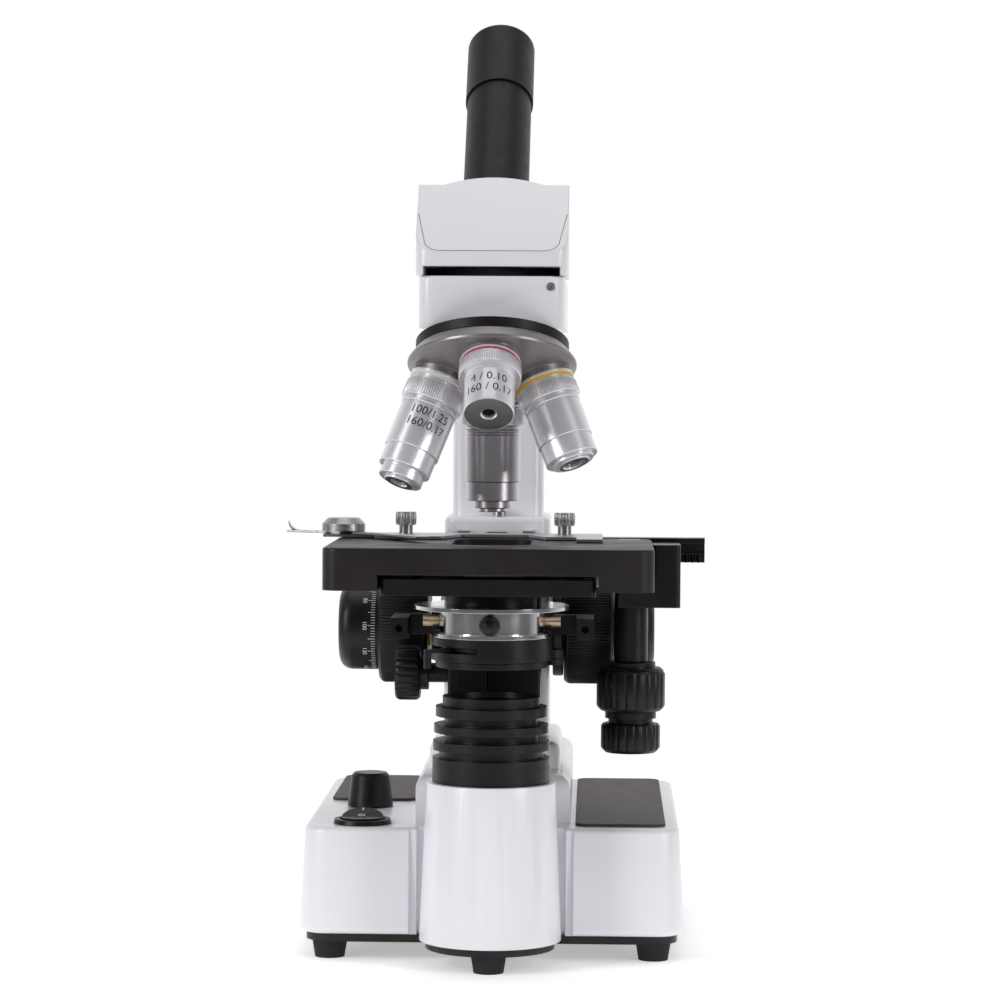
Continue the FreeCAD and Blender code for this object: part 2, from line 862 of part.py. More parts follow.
def make_illuminator_collar():
    sub_part("illuminator_collar", turned("Collar", [
        (s.lamp_ledge, s.bulge_top), (s.collar_radius, s.bulge_top), (s.collar_radius, s.collar_top),
        (s.lamp_bore, s.collar_top), (s.lamp_bore, s.led_board_bottom), (s.lamp_ledge, s.led_board_bottom)]))


def make_illuminator_barrel():
    sub_part("illuminator_barrel", turned("Barrel", [
        (s.lamp_bore, s.collar_top), (s.collar_radius, s.collar_top), (s.collar_radius, s.barrel_shoulder),
        (s.wide_neck_radius, s.barrel_shoulder), (s.wide_neck_radius, s.lower_ring_bottom),
        (s.lower_ring_radius, s.lower_ring_bottom), (s.lower_ring_radius, s.lower_ring_top),
        (s.neck_radius, s.lower_ring_top), (s.neck_radius, s.middle_ring_bottom),
        (s.middle_ring_radius, s.middle_ring_bottom), (s.middle_ring_radius, s.middle_ring_top),
        (s.neck_radius, s.middle_ring_top), (s.neck_radius, s.upper_ring_bottom),
        (s.upper_ring_radius, s.upper_ring_bottom), (s.upper_ring_radius, s.upper_ring_top),
        (s.lamp_bore, s.upper_ring_top)]))


def make_field_lens():
    seat = s.lens_ring_top - s.field_lens_drop
    sub_part("field_lens_ring", turned("LensRing", [
        (s.lamp_ledge, s.upper_ring_top), (s.lens_ring_radius, s.upper_ring_top),
        (s.lens_ring_radius, s.lens_ring_top), (s.lamp_bore, s.lens_ring_top), (s.lamp_bore, seat),
        (s.lamp_ledge, seat)]))
    sub_part("field_lens", cap("FieldLens", s.lamp_bore, s.field_lens_rise, seat))


def cap(name, radius, rise, bottom):
    """A round lens with a flat underside and a domed top."""
    ball_radius = (radius * radius + rise * rise) / (rise * 2)
    ball = doc.addObject("Part::Sphere", f"{name}Ball")
    bind(ball, "Radius", ball_radius)
    put(ball, 0, 0, bottom + rise - ball_radius)
    lens = doc.addObject("Part::MultiCommon", name)
    lens.Shapes = [ball, rod(f"{name}Blank", radius, bottom, bottom + rise + 1)]
    return lens


def make_led_board():
    top = s.led_board_bottom + s.led_board_thickness
    sub_part("led_board", turned("LedBoard", [
        (0, s.led_board_bottom), (s.lamp_bore, s.led_board_bottom), (s.lamp_bore, top),
        (s.led_radius, top), (s.led_radius, s.led_top), (0, s.led_top)]))


# Switch, dimmer and inlet


def make_switch():
    top = s.wing_top + s.bezel_rise
    floor = s.wing_top - s.switch_depth / 2
    bottom = s.wing_top - s.switch_depth
    sub_part("switch_housing", turned("Switch", [
        (0, bottom), (s.switch_barrel, bottom), (s.switch_barrel, s.wing_top), (s.bezel_radius, s.wing_top),
        (s.bezel_radius - 0.4, top), (s.switch_bore, top), (s.switch_bore, floor), (0, floor)]),
        s.switch_x, s.switch_y)
    reach = s.rocker_radius
    rise = s.rocker_half_height
    valley = prism("RockerValley", "YZ_Plane", [(-reach, -rise), (reach, -rise), (reach, rise), (0, rise / 2),
                                                (-reach, rise)], reach * 2, symmetric=True)
    rocker = doc.addObject("Part::MultiCommon", "Rocker")
    rocker.Shapes = [valley, rod("RockerRound", reach, -rise - 1, rise + 1)]
    sub_part("power_rocker", rocker, s.switch_x, s.switch_y, s.wing_top + s.rocker_pivot_rise,
             (1, 0, 0), s.rocker_tilt)


def make_dimmer():
    roof = s.wing_top - s.shell_wall
    bore = s.dimmer_shaft_radius + s.fit_gap
    sub_part("dimmer_potentiometer", turned("DimmerCan", [
        (bore, roof - s.dimmer_can_height), (s.dimmer_can_radius, roof - s.dimmer_can_height),
        (s.dimmer_can_radius, roof), (s.dimmer_bush_radius, roof), (s.dimmer_bush_radius, s.wing_top),
        (bore, s.wing_top)]), s.dimmer_x, s.dimmer_y)
    shoulder = s.dimmer_top - s.knob_edge
    sub_part("dimmer_knob", turned("Dimmer", [
        (0, s.dimmer_shaft_bottom), (s.dimmer_shaft_radius, s.dimmer_shaft_bottom),
        (s.dimmer_shaft_radius, s.dimmer_bottom), (s.dimmer_foot_radius, s.dimmer_bottom),
        (s.dimmer_top_radius, shoulder), (s.dimmer_top_radius - s.knob_edge, s.dimmer_top), (0, s.dimmer_top)]),
        s.dimmer_x, s.dimmer_y)


def make_dc_socket():
    length = s.inlet_length
    mouth = length + s.inlet_flange
    floor = length / 3
    socket = turned("Inlet", [
        (0, 0), (s.inlet_radius, 0), (s.inlet_radius, length), (s.inlet_flange_radius, length),
        (s.inlet_flange_radius, mouth), (s.inlet_hole, mouth), (s.inlet_hole, floor), (s.inlet_pin, floor),
        (s.inlet_pin, length), (0, length)])
    sub_part("dc_socket", socket, s.inlet_x, s.inlet_flange_start - length, s.inlet_z, *LAID_ALONG_Y)


# Arm


def turret_axis():
    """The nosepiece's axis, pointing down and forwards."""
    tilt = math.radians(SIZES["turret_tilt"])
    return (0, -math.sin(tilt), -math.cos(tilt))


def tilted(thing):
    """Hang a piece made about Z from the apex, down the nosepiece's axis."""
    return put(thing, 0, 0, s.apex_z, (-1, 0, 0), s.turret_tilt)


def arm_outside():
    lower = block("LowerArm", (-s.arm_half_width, s.arm_half_width), (s.arm_front, s.arm_rear),
                  (s.hump_top, s.arm_flange), s.column_corner, s.wing_edge)
    column = block("Column", (-s.column_half_width, s.column_half_width), (s.column_front, s.column_rear),
                   (s.arm_flange - 5, s.crown_bottom + 5), s.column_corner)
    crown = block("Crown", (-s.crown_half_width, s.crown_half_width), (s.crown_front, s.crown_rear),
                  (s.crown_bottom, s.crown_top), s.crown_corner, s.wing_edge / 2)
    low = s.crown_bottom - s.web_reach
    front = s.column_front - s.web_reach
    web = prism("Web", "YZ_Plane", [(s.column_front + 2, low), (s.column_front + 2, s.crown_bottom + 1),
                                    (front, s.crown_bottom + 1), (front, s.crown_bottom - 1),
                                    (s.column_front - s.web_reach / 3, s.crown_bottom - s.web_reach / 3)],
                s.column_half_width * 2, symmetric=True)
    wedge = box("Wedge", (-s.wedge_half_width, s.wedge_half_width), (s.crown_front + 1.5, s.wedge_rear),
                (s.wedge_bottom, s.crown_bottom + 1))
    below_plate = tilted(disc("BelowPlate", s.base_half_width, -s.apex_z / 2, -s.plate_top_drop))
    sides = ((s.arm_half_width - 1, s.boss_reach), (-s.boss_reach, -s.arm_half_width + 1))
    bosses = [rod("Boss", s.boss_radius, start, end, y=s.focus_y, z=s.focus_z, along="x") for start, end in sides]
    return fused("ArmOutside", [lower, column, crown, web, cut("CutWedge", wedge, [below_plate])] + bosses)


def arm_hollows():
    slot = box("RackSlot", (-s.slot_half_width, s.slot_half_width), (s.arm_front - 1, s.arm_front + 6),
               (s.slot_bottom, s.slot_top))
    cave = rod("GearCave", s.gear_cave_radius, -s.gear_cave_half_width, s.gear_cave_half_width,
               y=s.focus_y, z=s.focus_z, along="x")
    bushes = rod("BushBore", s.bush_radius, -s.boss_reach - 1, s.boss_reach + 1,
                 y=s.focus_y, z=s.focus_z, along="x")
    light = rod("LightBore", s.light_bore, s.wedge_bottom - 5, s.crown_top + 1)
    pivot = tilted(disc("PivotBore", s.pivot_radius, -s.plate_top_drop - 1, -s.pivot_start))
    stop = rod("StopScrewHole", s.stop_screw_shank, s.arm_flange - 9, s.arm_flange + 1,
               s.stop_screw_x, s.stop_screw_y)
    lock = rod("LockScrewHole", s.lock_screw_radius, s.crown_front - 1, s.crown_front + 6,
               x=s.lock_screw_x, z=s.lock_screw_z, along="y")
    screws = [rod("ArmHole", s.arm_screw_radius, s.hump_top - 1, s.hump_top + 13, x, y)
              for x, y in arm_screw_places()]
    return [slot, cave, bushes, light, pivot, stop, lock] + screws


def make_arm_casting():
    sub_part("arm_casting", cut("Arm", arm_outside(), arm_hollows()))


def arm_screws():
    shoulder = s.hump_top - s.shell_wall - 1
    bottom = shoulder - s.arm_screw_head
    tip = shoulder + s.arm_screw_length
    profile = [(0, bottom), (s.arm_screw_head_radius, bottom), (s.arm_screw_head_radius, shoulder),
               (s.arm_screw_radius, shoulder), (s.arm_screw_radius, tip), (0, tip)]
    return [put(turned("ArmScrew", profile), x, y) for x, y in arm_screw_places()]


def make_stand_screws():
    sub_part("stand_screws", grouped("StandScrews", base_screws() + arm_screws()))


def stop_screw():
    bottom = s.arm_flange - 9
    screw = turned("StopScrew", [
        (0, bottom), (s.stop_screw_shank, bottom), (s.stop_screw_shank, s.arm_flange),
        (s.stop_screw_radius, s.arm_flange), (s.stop_screw_radius, s.stop_screw_top), (0, s.stop_screw_top)])
    return put(screw, s.stop_screw_x, s.stop_screw_y)


def make_set_screws():
    """The stage's stop screw on the arm and the small screw that locks the head."""
    blank = rod("LockScrew", s.lock_screw_radius, s.crown_front - 0.2, s.crown_front + 6,
                x=s.lock_screw_x, z=s.lock_screw_z, along="y")
    socket = rod("LockSocket", s.lock_screw_radius / 2, s.crown_front - 1, s.crown_front + 1.5,
                 x=s.lock_screw_x, z=s.lock_screw_z, along="y")
    sub_part("set_screws", grouped("SetScrews", [stop_screw(), cut("LockScrewWhole", blank, [socket])]))


# Focusing


def make_focus_guide_rails():
    rails = mirrored_boxes("GuideRail", s.guide_inner, s.guide_outer, (s.guide_front, s.arm_front),
                           (s.guide_bottom, s.guide_top))
    sub_part("focus_guide_rails", grouped("GuideRails", rails))


def make_focus_slide():
    body = block("Slide", (-s.slide_half_width, s.slide_half_width), (s.slide_front, s.slide_rear),
                 (s.slide_bottom, s.lower_bottom), s.wing_edge / 2)
    gap = s.slide_gap
    tall = (s.slide_bottom - 1, s.lower_bottom + 1)
    grooves = mirrored_boxes("GuideGroove", s.guide_inner - gap, s.guide_outer + gap,
                             (s.guide_front - gap, s.slide_rear + 1), tall)
    left = s.condenser_rack_left - 0.4
    right = s.condenser_rack_right + 0.4
    place = {"y": s.condenser_knob_y, "z": s.condenser_knob_z, "along": "x"}
    cave = rod("CondenserCave", s.gear_cave_radius, left, right, **place)
    bore = rod("CondenserBore", s.condenser_shaft_radius + s.fit_gap, -s.slide_half_width - 1, 0, **place)
    sub_part("focus_slide", cut("SlideWhole", body, grooves + [cave, bore]))


def make_focus_rack():
    pitch_line = s.focus_y - s.pinion_pitch_radius
    thickness = pitch_line - s.tooth_ded - s.slide_rear
    teeth = rack("FocusRack", 14, thickness, s.focus_rack_half_width * 2)
    sub_part("focus_rack", teeth, 0, pitch_line, rack_start(s.focus_z, 7), *TEETH_BACKWARDS)


def make_coarse_shaft():
    bore = s.fine_shaft_radius + s.fit_gap
    gear = pinion("FocusPinion", -4, 4, bore)
    sleeve = ring("CoarseSleeve", bore, s.sleeve_radius, -s.coarse_outer + 1, s.coarse_outer - 1)
    sub_part("coarse_shaft", fused("CoarseShaft", [gear, sleeve]), 0, s.focus_y, s.focus_z, *LAID_ALONG_X)


def on_focus_axis(thing, right):
    """Lay a piece made about Z along X, its top outwards on the right or on the left."""
    return put(thing, 0, s.focus_y, s.focus_z, (0, 1 if right else -1, 0), 90)


def bevelled_wheel(name, bore, radius, bottom, top, edge):
    return turned(name, [(bore, bottom), (radius - edge, bottom), (radius, bottom + edge), (radius, top - edge),
                         (radius - edge, top), (bore, top)])


def make_coarse_knobs():
    knobs = [on_focus_axis(bevelled_wheel("CoarseKnob", s.sleeve_radius, s.coarse_radius, s.coarse_inner,
                                          s.coarse_outer, s.knob_edge), right) for right in (True, False)]
    sub_part("coarse_knobs", grouped("CoarseKnobs", knobs))


def fine_knob():
    socket = s.fine_outer - s.fine_dome
    knob = turned("FineKnob", [
        (s.fine_shaft_radius, s.fine_inner), (s.fine_radius, s.fine_inner), (s.fine_radius, s.fine_outer),
        (0, s.fine_outer), (0, socket), (s.fine_shaft_radius, socket)])
    doc.recompute()
    return round_edges(knob, s.fine_radius - s.fine_face_radius + 2,
                       lambda line: is_level(line, s.fine_outer) and line.Length > s.fine_radius.value)


def make_fine_knobs():
    sub_part("fine_knobs", grouped("FineKnobs", [on_focus_axis(fine_knob(), side) for side in (True, False)]))


def make_fine_shaft():
    reach = s.fine_outer - s.fine_dome
    sub_part("fine_shaft", disc("FineShaft", s.fine_shaft_radius, -reach, reach), 0, s.focus_y, s.focus_z,
             (0, 1, 0), 90)


def make_focus_bushes():
    bushes = [on_focus_axis(ring("Bush", s.sleeve_radius + s.fit_gap, s.bush_radius, s.guide_inner, s.bush_reach),
                            right) for right in (True, False)]
    sub_part("focus_bushes", grouped("Bushes", bushes))


def make_tension_collar():
    sub_part("tension_collar", bevelled_wheel("Tension", s.bush_radius + s.fit_gap, s.tension_radius,
                                              s.tension_inner, s.tension_outer, s.knob_edge / 2),
             0, s.focus_y, s.focus_z, (0, 1, 0), 90)


# Stage


def make_stage_lower_plate():
    plate = block("LowerPlate", (-s.lower_half_width, s.lower_half_width), (s.lower_front, s.lower_rear),
                  (s.lower_bottom, s.lower_top), s.column_corner / 2)
    rails = mirrored_boxes("StageRail", s.rail_inner, s.rail_outer, (s.lower_front + 8, s.lower_rear - 5),
                           (s.lower_top - 1, s.channel_roof - s.slide_gap))
    hole = rod("CondenserHole", s.lower_hole, s.lower_bottom - 1, s.lower_top + 1)
    sub_part("stage_lower_plate", cut("LowerPlateWhole", fused("PlateAndRails", [plate] + rails), [hole]))


def make_stage_y_rack():
    pitch_line = s.drive_x - s.pinion_pitch_radius
    thickness = pitch_line - s.tooth_ded - s.lower_half_width
    level = (s.y_pinion_bottom + s.y_rack_top) / 2
    teeth = rack("YRack", 14, thickness, s.y_rack_top - s.y_pinion_bottom)
    sub_part("stage_y_rack", teeth, pitch_line, rack_start(s.drive_y, 11), level, *LAID_ALONG_Y)


def make_stage_top_plate():
    plate = block("TopPlate", (-s.stage_half_width, s.stage_half_width), (s.stage_front, s.stage_rear),
                  (s.stage_bottom, s.stage_top), s.stage_corner, s.stage_edge)
    key = box("Key", (-s.key_half_length, s.key_half_length), (s.stage_rear - 1, s.key_reach),
              (s.key_bottom, s.key_top))
    below = s.stage_bottom - 1
    behind = s.stage_rear + 1
    channel = box("Channel", (-s.channel_half_width, s.channel_half_width), (s.stage_front - 1, behind),
                  (below, s.channel_roof))
    opening = block("Opening", (-s.opening_half_width, s.opening_half_width),
                    (s.opening_front, s.opening_rear), (below, s.stage_top + 1), s.opening_corner)
    rack_bay = box("RackBay", (s.channel_half_width - 1, s.rack_bay_outer), (s.rack_bay_front, behind),
                   (below, s.y_rack_top + 1.5))
    pinion_bay = box("PinionBay", (s.pinion_bay_inner, s.stage_half_width + 1), (s.pinion_bay_front, behind),
                     (below, s.pinion_bay_roof))
    whole = fused("TopPlateAndKey", [plate, key])
    sub_part("stage_top_plate", cut("TopPlateWhole", whole, [channel, opening, rack_bay, pinion_bay]))


def make_knob_bracket():
    depth = (s.bracket_front, s.bracket_rear)
    wall = block("BracketWall", (s.stage_half_width, s.bracket_outer), depth, (s.bracket_bottom, s.bracket_top),
                 s.bracket_edge)
    foot = box("BracketFoot", (s.bracket_foot_inner, s.bracket_outer - s.bracket_edge), depth,
               (s.bracket_bottom, s.bracket_foot_top))
    sleeve = rod("DriveSleeve", s.drive_sleeve_radius, s.drive_sleeve_bottom, s.bracket_foot_top,
                 s.drive_x, s.drive_y)
    bore = rod("DriveBore", s.y_shaft_radius + s.fit_gap, s.drive_sleeve_bottom - 1, s.bracket_foot_top + 1,
               s.drive_x, s.drive_y)
    sub_part("knob_bracket", cut("Bracket", fused("BracketWhole", [wall, foot, sleeve]), [bore]))


def hanging_knob(name, bore, radius, neck, bottom, top, shaft_radius, shaft_top):
    """A drive knob with a neck above it and its shaft, about Z."""
    shoulder = top - s.knob_neck_height
    edge = s.knob_edge
    return turned(name, [(bore, bottom), (radius - edge, bottom), (radius, bottom + edge),
                         (radius, shoulder - edge), (radius - edge, shoulder), (neck, shoulder), (neck, top),
                         (shaft_radius, top), (shaft_radius, shaft_top), (bore, shaft_top)])


def make_y_knob():
    bore = s.x_shaft_radius + s.fit_gap
    knob = hanging_knob("YKnob", bore, s.y_knob_radius, s.y_knob_neck, s.y_knob_bottom, s.y_knob_top,
                        s.y_shaft_radius, s.y_rack_top)
    gear = put(pinion("YPinion", s.y_pinion_bottom, s.y_rack_top, bore), axis=(0, 0, 1), angle=180)
    sub_part("y_knob", fused("YKnobWhole", [knob, gear]), s.drive_x, s.drive_y)


def make_x_knob():
    knob = hanging_knob("XKnob", 0, s.x_knob_radius, s.x_knob_neck, s.x_knob_bottom, s.x_knob_top,
                        s.x_shaft_radius, s.x_pinion_top)
    gear = put(pinion("XPinion", s.x_pinion_bottom, s.x_pinion_top, s.x_shaft_radius / 2),
               axis=(0, 0, 1), angle=90)
    sub_part("x_knob", fused("XKnobWhole", [knob, gear]), s.drive_x, s.drive_y)


# Cross slide and slide holder


def make_x_slide_bar():
    pitch_line = s.drive_y + s.pinion_pitch_radius
    start = rack_start(s.drive_x, 15)
    bar = box("Bar", (s.bar_left, s.bar_right), (s.bar_front, s.bar_rear), (s.bar_bottom, s.bar_top))
    gap = s.slide_gap
    groove = box("KeyGroove", (s.bar_left - 1, s.bar_right + 1), (s.bar_front - 1, s.key_reach + gap),
                 (s.key_bottom - gap, s.key_top + gap))
    rebate = box("RackRebate", (start, s.bar_right + 1), (s.bar_front - 1, pitch_line + s.tooth_ded),
                 (s.bar_bottom - 1, s.x_rack_top))
    holes = [rod("BarHole", s.base_screw_radius, s.bar_top - 5, s.bar_top + 1, x, s.holder_screw_y)
             for x in (s.holder_screw_left, s.holder_screw_right)]
    plain = cut("BarCut", bar, [groove, rebate] + holes)
    level = (s.bar_bottom + s.x_rack_top) / 2
    teeth = put(rack("XRack", 27, 2, s.x_rack_top - s.bar_bottom), start, pitch_line, level, *LAID_ALONG_X)
    sub_part("x_slide_bar", fused("BarWhole", [plain, teeth]))


def make_slide_holder():
    bottom = s.bar_top
    step = s.holder_tab_inner - 7
    plate = prism("HolderPlate", "XY_Plane", [
        (s.holder_left - 22, s.bar_rear), (s.holder_right, s.bar_rear), (s.holder_right, s.jaw_front),
        (s.jaw_inner, s.jaw_front), (s.jaw_inner, s.holder_tab_front), (s.holder_tab_inner, s.holder_tab_front),
        (step, s.holder_mid_front), (-step, s.holder_mid_front), (-s.holder_tab_inner, s.holder_tab_front),
        (s.holder_left, s.holder_tab_front), (s.holder_left, s.pivot_y - 6), (s.holder_left - 22, s.pivot_y - 6)],
        s.holder_thickness)
    put(plate, 0, 0, bottom)
    pin = rod("FingerPin", s.pivot_pin_radius, bottom, bottom + s.holder_thickness + s.pivot_cap_height,
              s.pivot_x, s.pivot_y)
    holes = [rod("HolderHole", s.base_screw_radius, bottom - 1, bottom + 3, x, s.holder_screw_y)
             for x in (s.holder_screw_left, s.holder_screw_right)]
    sub_part("slide_holder", cut("HolderCut", fused("Holder", [plate, pin]), holes))


def make_holder_screws():
    bottom = s.bar_top - 5
    seat = s.bar_top + s.holder_thickness
    profile = [(0, bottom), (s.base_screw_radius, bottom), (s.base_screw_radius, seat),
               (s.holder_screw_neck, seat), (s.holder_screw_neck, s.holder_screw_head_bottom),
               (s.holder_screw_radius, s.holder_screw_head_bottom), (s.holder_screw_radius, s.holder_screw_top),
               (0, s.holder_screw_top)]
    screws = [put(turned("HolderScrew", profile), x, s.holder_screw_y)
              for x in (s.holder_screw_left, s.holder_screw_right)]
    sub_part("holder_screws", grouped("HolderScrews", screws))


def make_slide_finger():
    bottom = s.bar_top + s.holder_thickness + s.slide_gap
    half = s.finger_width / 2
    blade = prism("FingerBlade", "XY_Plane", [
        (s.finger_tail_x, s.finger_tail_y - half), (s.pivot_x, s.pivot_y - half - 1),
        (s.pivot_x + 15, s.pivot_y - 16), (s.finger_tip_x - 5, s.finger_tip_y), (s.finger_tip_x, s.finger_tip_y),
        (s.finger_tip_x, s.finger_tip_y + half), (s.pivot_x + 20, s.pivot_y - 12),
        (s.pivot_x + 4, s.pivot_y + half + 1), (s.finger_tail_x, s.finger_tail_y + half)], s.finger_thickness)
    put(blade, 0, 0, bottom)
    edge = s.knob_edge
    cap_top = bottom + s.pivot_cap_height + s.holder_thickness
    hub = put(turned("FingerCap", [(0, bottom), (s.pivot_cap_radius - edge, bottom), (s.pivot_cap_radius, bottom + edge),
                                   (s.pivot_cap_radius, cap_top - edge * 2),
                                   (s.pivot_cap_radius - edge * 2, cap_top), (0, cap_top)]), s.pivot_x, s.pivot_y)
    bore = rod("FingerBore", s.pivot_pin_radius + s.fit_gap, bottom - 1, bottom + s.pivot_cap_height + 0.4,
               s.pivot_x, s.pivot_y)
    sub_part("slide_finger", cut("FingerCut", fused("Finger", [blade, hub]), [bore]))


# Condenser


def make_condenser_body():
    sub_part("condenser_body", turned("CondenserBody", [
        (s.condenser_bore, s.condenser_rim_bottom), (s.condenser_rim_radius, s.condenser_rim_bottom),
        (s.condenser_rim_radius, s.condenser_rim_top), (s.condenser_body_radius, s.condenser_rim_top),
        (s.condenser_body_radius, s.condenser_flange_bottom), (s.condenser_flange_radius, s.condenser_flange_bottom),
        (s.condenser_flange_radius, s.condenser_flange_top), (s.condenser_bore, s.condenser_flange_top)]))


def make_condenser_lens():
    seat = s.lens_mount_top - 2
    sub_part("condenser_lens_mount", turned("LensMount", [
        (s.condenser_bore - 2, s.condenser_flange_top), (s.lens_mount_radius, s.condenser_flange_top),
        (s.lens_mount_radius, s.lens_mount_top - 1), (s.lens_mount_radius - 1, s.lens_mount_top),
        (s.condenser_bore, s.lens_mount_top), (s.condenser_bore, seat), (s.condenser_bore - 2, seat)]))
    sub_part("condenser_lens", cap("CondenserLens", s.condenser_bore, s.lens_top - seat, seat))


def make_iris_housing():
    inner = s.iris_wall_inner
    floor = s.iris_bottom + 1.5
    roof = s.condenser_rim_bottom - 1.5
    shell = turned("IrisShell", [
        (s.condenser_bore, s.iris_bottom), (s.condenser_rim_radius, s.iris_bottom),
        (s.condenser_rim_radius, s.condenser_rim_bottom), (s.condenser_bore, s.condenser_rim_bottom),
        (s.condenser_bore, roof), (inner, roof), (inner, floor), (s.condenser_bore, floor)])
    lug = rod("FilterLug", s.filter_ear_radius, s.iris_bottom, s.iris_slot_bottom, s.filter_pivot_x, s.filter_pivot_y)
    slot = doc.addObject("Part::Cylinder", "IrisSlot")
    bind(slot, "Radius", s.condenser_rim_radius + 2)
    bind(slot, "Height", s.iris_slot_top - s.iris_slot_bottom)
    bind(slot, "Angle", s.iris_sweep * 2 + 12)
    put(slot, 0, 0, s.iris_slot_bottom, (0, 0, 1), s.iris_lever_angle - s.iris_sweep - 6)
    bore = rod("LugBore", s.base_screw_radius + s.fit_gap, s.iris_bottom - 1, s.iris_slot_bottom - 0.8,
               s.filter_pivot_x, s.filter_pivot_y)
    sub_part("iris_housing", cut("Iris", fused("IrisWhole", [shell, lug]), [slot, bore]))


def make_iris_lever():
    bottom = s.iris_slot_bottom + 0.5
    top = s.iris_slot_top - 0.5
    half = s.iris_lever_width / 2
    leaves = ring("IrisLeaves", s.iris_opening, s.iris_leaf_radius, bottom, top)
    arm = box("LeverArm", (s.iris_opening + 2, s.iris_lever_reach), (-half, half), (bottom, top))
    grip = rod("LeverGrip", half, s.iris_bottom - 2, top, x=s.iris_lever_reach)
    sub_part("iris_lever", fused("IrisLever", [leaves, arm, grip]), axis=(0, 0, 1), angle=s.iris_lever_angle)


def make_filter_holder():
    hoop = turned("FilterHoop", [
        (s.filter_inner, s.filter_bottom), (s.filter_radius, s.filter_bottom), (s.filter_radius, s.filter_top),
        (s.filter_inner + 1.5, s.filter_top), (s.filter_inner + 1.5, s.filter_bottom + 1),
        (s.filter_inner, s.filter_bottom + 1)])
    ear = rod("FilterEar", s.filter_ear_radius, s.filter_bottom, s.filter_top, s.filter_pivot_x, s.filter_pivot_y)
    pin = rod("FilterPin", s.base_screw_radius, s.filter_top - 1, s.iris_slot_bottom - 1,
              s.filter_pivot_x, s.filter_pivot_y)
    glass_seat = rod("FilterSeat", s.filter_inner + 1.5, s.filter_bottom + 1, s.filter_top + 0.1)
    sub_part("filter_holder", fused("FilterHolder", [cut("FilterFrame", fused("FilterBlank", [hoop, ear]),
                                                         [glass_seat]), pin]))


def make_condenser_carrier():
    half = s.carrier_half_width
    fork = box("Fork", (-half, half), (s.carrier_front, s.carrier_rear), (s.carrier_bottom, s.carrier_top))
    bar = box("CheekBar", (-s.cheek_outer, s.cheek_outer), (s.cheek_bar_front, s.carrier_rear),
              (s.cheek_bottom, s.cheek_top))
    cheeks = mirrored_boxes("Cheek", s.cheek_inner, s.cheek_outer, (s.cheek_front, s.carrier_rear),
                            (s.cheek_bottom, s.cheek_top))
    tongue = box("RackTongue", (s.condenser_rack_left, s.condenser_rack_right),
                 (s.condenser_rack_front, s.condenser_knob_y - s.pinion_pitch_radius - s.tooth_ded),
                 (rack_start(s.condenser_knob_z, 3) + tooth_pitch() * 10, s.cheek_bottom + 1))
    middle = (s.cheek_inner + s.cheek_outer) / 2
    holes = [rod("CheekHole", s.base_screw_radius, s.cheek_front - 1, s.cheek_front + 8, x=side * middle,
                 z=(s.cheek_bottom + s.cheek_top) / 2, along="y") for side in (1, -1)]
    seat = rod("CondenserSeat", s.condenser_body_radius, s.carrier_bottom - 1, s.carrier_top + 1)
    sub_part("condenser_carrier", cut("Carrier", fused("CarrierWhole", [fork, bar, tongue] + cheeks),
                                      [seat] + holes))


def make_condenser_rack():
    pitch_line = s.condenser_knob_y - s.pinion_pitch_radius
    thickness = pitch_line - s.tooth_ded - s.condenser_rack_front
    teeth = rack("CondenserRack", 10, thickness, s.condenser_rack_right - s.condenser_rack_left)
    sub_part("condenser_rack", teeth, (s.condenser_rack_left + s.condenser_rack_right) / 2, pitch_line,
             rack_start(s.condenser_knob_z, 3), *TEETH_BACKWARDS)


def make_condenser_knob():
    gear = pinion("CondenserPinion", s.condenser_rack_left, s.condenser_rack_right, s.condenser_shaft_radius / 2)
    edge = s.knob_edge / 2
    knob = turned("CondenserKnob", [
        (0, s.condenser_knob_outer), (s.condenser_knob_radius - edge, s.condenser_knob_outer),
        (s.condenser_knob_radius, s.condenser_knob_outer + edge),
        (s.condenser_knob_radius, s.condenser_knob_inner - edge),
        (s.condenser_knob_radius - edge, s.condenser_knob_inner),
        (s.condenser_hub_radius, s.condenser_knob_inner), (s.condenser_hub_radius, s.condenser_hub_end),
        (s.condenser_shaft_radius, s.condenser_hub_end), (s.condenser_shaft_radius, -0.5), (0, -0.5)])
    sub_part("condenser_knob", fused("CondenserKnobWhole", [gear, knob]), 0, s.condenser_knob_y,
             s.condenser_knob_z, *LAID_ALONG_X)


def make_condenser_screws():
    ball = doc.addObject("Part::Sphere", "ClampBall")
    bind(ball, "Radius", s.clamp_ball_radius)
    put(ball, 0, s.clamp_ball_y, s.clamp_z)
    shank = rod("ClampShank", s.clamp_shank, s.clamp_ball_y, -s.condenser_body_radius, z=s.clamp_z, along="y")
    start = s.condenser_body_radius
    centring = [rod("Centring", s.centring_radius, start, s.centring_end, z=s.clamp_z, along="x"),
                rod("Centring", s.centring_radius, -s.centring_end, -start, z=s.clamp_z, along="x")]
    sub_part("condenser_screws", grouped("CondenserScrews", [fused("Clamp", [ball, shank])] + centring))


# Nosepiece


def make_nosepiece_base():
    plate = tilted(disc("NosePlate", s.plate_radius, -s.plate_drop, -s.plate_top_drop))
    pivot = tilted(disc("PlatePivot", s.pivot_radius, -s.plate_drop - 1, -s.plate_top_drop + 1))
    light = rod("PlateLight", s.light_bore, s.wedge_bottom - 9, s.crown_bottom)
    sub_part("nosepiece_base", cut("NoseBase", plate, [pivot, light]))


